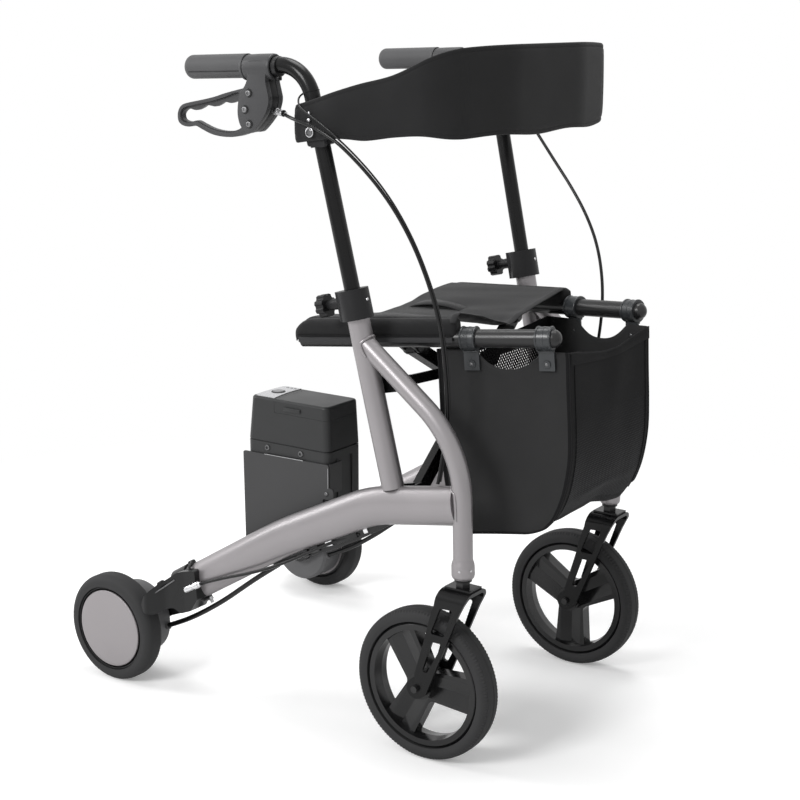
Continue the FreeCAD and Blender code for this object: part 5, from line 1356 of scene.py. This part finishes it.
def make_brake_details(side_name):
    """Ridges along the brake arm in a lighter finish that paints their highlight, its studs, the plug on the
    beam, and the cable's ferrule.
    """
    side = SIDES[side_name]
    base = "frame_" + side_name
    ridges = []
    for line in ([(-281, 117), (-270, 128), (-256.5, 137), (-237, 148), (-220, 163), (-203, 178)],
                 [(-262, 137), (-250, 147.5), (-238, 158), (-226, 169)]):
        places = [outer_skin("rear_bracket_" + side_name, x, z, side) for x, z in line]
        places = [p + mm(0, side * 0.2, 0) for p in places if p]
        if len(places) > 2:
            ridges.append(round_cord("ridge", places, 0.0021, cast_painted_highlight, 8))
    if ridges:
        # the ridges are coloured lighter than the arm: painted highlight along them
        finish(merged(ridges), "arm_ridges_" + side_name, cast_painted_highlight, base, 60)
    lip = []
    for k in range(21):
        angle = math.radians(-95 + 190 * k / 20)
        up = 28.5 * math.sin(angle)
        out = 20.5 * max(math.cos(angle), 0.0) ** 0.6 + 1.5
        lip.append(leaned(-183 - up * 0.44 + 3.0 * math.cos(angle), out, 171 + up * 0.94, side))
    finish(round_cord("lip", lip, 0.0046, casting, 10), "arm_lip_" + side_name, casting, base, 60)
    ferrule = turned(leaned(-188, 30.5, 164.2, side), leaned_way(27, -5.5, 13.8, side),
                     [(0, 4.0), (0.5, 5.0), (15.0, 5.0), (15.6, 4.2), (18.4, 4.1), (19.0, 5.6), (26.5, 5.6),
                      (27.2, 4.4), (30.5, 3.8)], 12)
    finish(ferrule, "cable_ferrule_" + side_name, bright_zinc, base, 25)
    plug = turned(leaned(-192, 2, 186.0, side), leaned_way(-0.5, 0, 0.87, side),
                  [(0, 7.0), (8.0, 7.0), (8.8, 6.6), (14.5, 6.2), (16.2, 5.2), (16.8, 3.4)], 24)
    stud = turned(leaned(-262, 0, 138.0, side), leaned_way(-0.6, 0, 0.8, side),
                  [(0, 5.6), (8.0, 5.6), (9.0, 6.6), (13.5, 6.4), (15.0, 5.2), (15.4, 3.4)], 24)
    finish(merged([plug, stud]), "beam_plug_" + side_name, casting, base, 30)
    bolt = turned(leaned(-168, -2, 146, side), leaned_way(0.5, 0, -0.87, side),
                  [(0, 4.6), (4.0, 4.6), (4.6, 4.0), (4.6, 2.8), (9.0, 2.8), (9.4, 2.4)], 6)
    finish(bolt, "beam_bolt_" + side_name, steel, base, 20)


def make_cable_tray(side_name):
    """Cable tray under the beam, its bright tab and its clip."""
    side = SIDES[side_name]
    base = "frame_" + side_name
    tilt = Quaternion((0, 1, 0), -math.radians(26))
    tray = side_plate([[(x, z - HANDLE_Z) for x, z in TRAY]], -9.0, 1.0, 0.8, side)
    pads = [slab(leaned(x, 1.5, z, side), (w, 5.0, h), 0.8, tilt)
            for x, z, w, h in ((28, 259, 9, 12), (103, 296, 40, 9))]
    barrel = turned(leaned(38, 0.5, 266, side), leaned_way(1, 0, 0.46, side),
                    [(0, 5.5), (1, 6.3), (15, 6.3), (16, 5.5)], 20)
    finish(merged([tray, barrel] + pads), "cable_tray_" + side_name, casting, base, 30)
    tab = slab(leaned(70, 2.6, 284, side), (13.0, 2.6, 13.0), 0.5, Quaternion((0, 1, 0), -math.radians(20)))
    clip = slab(leaned(137, 1.0, 313, side), (8.0, 6.0, 7.0), 1.2, tilt)
    finish(merged([tab, clip]), "tray_tab_" + side_name, bright_zinc, base, 30)


# ---------------------------------------------------------------- welds
def weld_bead(name, run, diameter, seed):
    """A weld bead along a run of points, with a slightly uneven skin."""
    piece = round_cord(name, run, diameter, silver, 8)
    for vertex in piece.data.vertices:
        vertex.co += Vector((1, 1, 1)).normalized() * (ripple(vertex.co, 260, seed) * 0.0005)
    return piece


def weld(name, body, node, centre, along, radius, reach, lowest):
    """A bead where one tube meets another, found by sighting along the first tube's skin."""
    along = along.normalized()
    across = along.orthogonal().normalized()
    other = along.cross(across)
    count, longest_gap = 64, 0.012
    points = []
    for k in range(count):
        angle = 2 * math.pi * k / count
        origin = centre + (across * math.cos(angle) + other * math.sin(angle)) * radius
        hit, place, _, _ = nodes[node].ray_cast(origin, along, distance=reach)
        points.append(place - along * 0.0006 if hit and place.z > lowest else None)
    runs, current = [], []
    for p in points + [None]:
        if p is None or (current and (p - current[-1]).length > longest_gap):
            if len(current) > 5:
                runs.append(current)
            current = [] if p is None else [p]
        else:
            current.append(p)
    if runs:
        piece = merged([weld_bead(f"{name}_{n}", run, 0.0042, 2.0) for n, run in enumerate(runs)])
        piece.name = name
        piece.data.name = name
        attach(piece, body)


def make_welds(side_name):
    """Beads at the foot of the post, at the front tube and at the beam's end."""
    side = SIDES[side_name]
    body, node = "frame_" + side_name, "side_frame_" + side_name
    down = -leaned_way(POST_UP.x, 0, POST_UP.z, side)
    foot = leaned(post_x(430), 0, 430, side)
    weld("post_weld_" + side_name, body, node, foot, down, 0.0168, 0.09, 0.392)
    tube_way = leaned_way(140 - FRONT_TUBE_X, 0, 585 - 460, side)
    start = leaned(140, 0, 585, side) - tube_way * 0.062
    weld("tube_weld_" + side_name, body, node, start, tube_way, 0.0146, 0.06, 0.566)
    beam_way = leaned_way(140, 0, 24, side)
    beam_up, outward = leaned_way(-0.17, 0, 0.985, side), Vector((0, side, 0))
    beam_at = leaned(262, 0, 372.2, side)
    half_height, half_width = 0.0279, 0.0175
    run = []
    for k in range(-13, 14):
        angle = math.radians(90 + k * 10)
        skin = (beam_at + beam_up * (half_height * math.sin(angle))
                + outward * (half_width * math.cos(angle)))
        hit, place, _, _ = nodes[node].ray_cast(skin, beam_way, distance=0.04)
        if hit:
            run.append(place - beam_way * 0.0004)
    if len(run) > 4:
        bead = weld_bead("beam_weld_" + side_name, run, 0.004, 5.0)
        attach(bead, body)


# ---------------------------------------------------------------- power box details
def make_box_details():
    """Control panel, button ring, windows, screws, painted highlights on the plate's edges, and ribs of the
    power box.
    """
    # pale control panel with a bowed front edge, set into the rear of the top
    deselect()
    bpy.ops.mesh.primitive_grid_add(x_subdivisions=14, y_subdivisions=18, size=1, location=(0, 0, 0))
    panel = bpy.context.object
    for vertex in panel.data.vertices:
        u, v = vertex.co.x + 0.5, vertex.co.y + 0.5
        y = -181.5 + 69.0 * v
        rear = -89.5 + 5.0 * (abs(2 * v - 1) ** 5)
        front = -50.5 - 5.0 * v - 3.0 * math.sin(math.pi * v)
        vertex.co = mm(rear + (front - rear) * u, y, 471.7)
    bpy.ops.object.mode_set(mode="EDIT")
    bpy.ops.mesh.select_all(action="SELECT")
    bpy.ops.mesh.extrude_region_move(TRANSFORM_OT_translate={"value": (0, 0, 0.0007)})
    bpy.ops.object.mode_set(mode="OBJECT")
    finish(panel, "control_panel", panel_grey, "frame_right", 30)
    # rubber ring round the button and three indicator windows
    ring = turned(mm(-71, -147.5, 472.2), (0, 0, 1),
                  [(0, 10.6), (0.9, 10.4), (1.2, 9.8), (1.2, 8.5), (0.3, 8.3)], 40)
    finish(ring, "button_ring", box_plastic, "frame_right", 30)
    windows = [slab(mm(-76 + 7 * k, -119.5, 472.6), (4.2, 2.6, 1.0), 0.35) for k in range(3)]
    finish(merged(windows), "indicator_windows", button_grey, "frame_right", 30)
    # mark plate left bare on the lid's side
    plate = slab(mm(-14, -187.4, 459.5), (30.0, 0.8, 6.0), 0.35)
    finish(plate, "blank_name_plate", box_plastic, "frame_right", 30)
    # screws with dished heads
    screws = [turned(mm(x, -187.0, 397.0), (0, -1, 0),
                     [(0, 4.4), (1.3, 4.3), (2.0, 3.6), (2.0, 2.3), (1.0, 2.0), (0.9, 0.8)], 24)
              for x in (-60.7, 1.6)]
    finish(merged(screws), "case_screws", dull_steel, "frame_right", 30)
    # bright strips as painted highlight along the plate's upper slot and its returned front edge, and the
    # lower lug's screw
    strip = slab((mm(-64, -190.3, 387.4) + mm(8, -190.3, 388.6)) / 2, (72.0, 0.8, 1.1), 0.3,
                 Quaternion((0, 1, 0), math.radians(-0.95)))
    finish(strip, "plate_slot_highlight", painted_edge_highlight, "frame_right", 30)
    edge = slab(mm(52.6, -189.2, 369.0), (1.0, 1.6, 30.0), 0.4)
    finish(edge, "plate_front_edge_highlight", painted_edge_highlight, "frame_right", 30)
    lug_screw = turned(mm(50.0, -190.0, 345.5), (0, -1, 0),
                       [(0, 3.2), (0.8, 3.1), (1.3, 2.5), (1.4, 0.9)], 20)
    finish(lug_screw, "plate_screw", dull_steel, "frame_right", 40)
    # ribs down the base's front face
    ribs = [slab(mm(53.0, y, 345.0), (1.6, 3.0, 96.0), 0.6) for y in (-166.0, -132.0)]
    finish(merged(ribs), "case_ribs", box_plastic, "frame_right", 30)


# ---------------------------------------------------------------- front tube ends
def make_tube_ends(side_name):
    """Foot sleeve of the upright over a caster, and its two pins."""
    side = SIDES[side_name]
    base = "frame_" + side_name
    down = -leaned_way(0, 0, 1, side)
    end = turned(leaned(FRONT_TUBE_X, 0, 303, side), down,
                 [(0, 13.55), (2.0, 13.9), (6.0, 15.3), (10.0, 15.9), (22.0, 15.9), (25.0, 15.2),
                  (26.6, 13.8)], 48)
    finish(end, "tube_end_" + side_name, silver, base, 40)
    radius, pins = 15.7, []
    for angle in (math.radians(15), math.radians(75)):
        ahead, out = math.cos(angle), math.sin(angle)
        pins.append(turned(leaned(FRONT_TUBE_X + radius * ahead, radius * out, 290, side),
                           leaned_way(ahead, out, 0, side), [(0, 1.8), (0.7, 1.7), (1.0, 0.9)], 14))
    finish(merged(pins), "tube_end_pins_" + side_name, steel, base, 40)


make_backrest()
make_seat_cloth()
make_strap_painted_shade()
for side_name in SIDES:
    make_sleeve(side_name)
    make_brake_handle(side_name)
    make_handle_fittings(side_name)
    make_grip_lines(side_name)
    make_rail_fittings(side_name)
    knurled_tyre(side_name)
    rear_disc(side_name)
    make_brake_details(side_name)
    make_cable_tray(side_name)
    make_welds(side_name)
    make_tube_ends(side_name)
place_bag()
make_cables()
make_box_details()


# ---------------------------------------------------------------- studio
CAMERA_PLACE = Vector((1.4194, -1.9462, 1.0234))
CAMERA_AHEAD = Vector((-0.5606, 0.7940, -0.2353))
CAMERA_UP = Vector((-0.1357, 0.1922, 0.9720))
CAMERA_LENS = 72.7


def make_camera():
    """Camera looking down at the walker's right front."""
    camera = linked("camera", bpy.data.cameras.new("camera"))
    back = -CAMERA_AHEAD.normalized()
    right = CAMERA_UP.cross(back).normalized()
    up = back.cross(right)
    camera.matrix_world = Matrix.Translation(CAMERA_PLACE) @ Matrix((right, up, back)).transposed().to_4x4()
    camera.data.lens = CAMERA_LENS
    camera.data.sensor_width = 36.0
    bpy.context.scene.camera = camera


def area_light(name, place, target, width, height, watts):
    """A soft lamp aimed at a point."""
    data = bpy.data.lights.new(name, "AREA")
    data.shape = "RECTANGLE"
    data.size = width
    data.size_y = height
    data.energy = watts
    lamp = linked(name, data)
    lamp.location = place
    lamp.rotation_mode = "QUATERNION"
    lamp.rotation_quaternion = (Vector(target) - Vector(place)).to_track_quat("-Z", "Y")


def make_world():
    """Plain light for the object, pure white where the camera or a reflection looks straight at it."""
    world = bpy.data.worlds.new("studio")
    bpy.context.scene.world = world
    g = Graph(world)
    seen = g.ray("Camera").most(g.ray("Glossy").most(g.ray("Transmission")))
    plain = g.node("Background", None, {"Color": rgb(1, 1, 1), "Strength": 0.5})
    white = g.node("Background", None, {"Color": rgb(1, 1, 1), "Strength": 1.0})
    mixed = g.node("MixShader", None, {0: seen, 1: plain, 2: white})
    g.node("OutputWorld", None, {"Surface": mixed})


def make_floor():
    """Pale floor: it takes the shadow near the object and turns plain white further off."""
    bpy.ops.mesh.primitive_plane_add(size=14, location=(0, 0, 0))
    floor = bpy.context.object
    floor.name = "studio_floor"
    s = Shader("pale_floor", Roughness=0.9, Base_Color=rgb(0.93, 0.93, 0.93), Emission_Color=rgb(1, 1, 1))
    straight = s.ray("Camera")
    s.feed(s.surface.inputs["Emission Strength"], straight * 0.2)
    x, y, _ = s.axes()
    away = s.stretch((x * x + y * y).root(), 0.75, 1.5, 0.0, 1.0)
    white = s.node("Emission", None, {"Color": rgb(1, 1, 1), "Strength": 1.0})
    s.show(s.node("MixShader", None, {0: away * straight, 1: Value(s, s.surface.outputs[0]), 2: white}))
    floor.data.materials.append(s.material)
    deselect()


make_camera()
make_world()
make_floor()
area_light("key", (-0.4, -3.4, 2.5), (0, 0, 0.5), 1.2, 1.2, 86)
area_light("fill_left", (-3.0, -1.4, 1.9), (0, 0, 0.5), 0.7, 2.2, 34)
area_light("top", (-0.2, 0.4, 3.2), (0, 0, 0.5), 1.5, 1.5, 40)
bpy.context.scene.view_settings.view_transform = "Standard"

# ---------------------------------------------------------------- last update of the scene
bpy.context.view_layer.update()
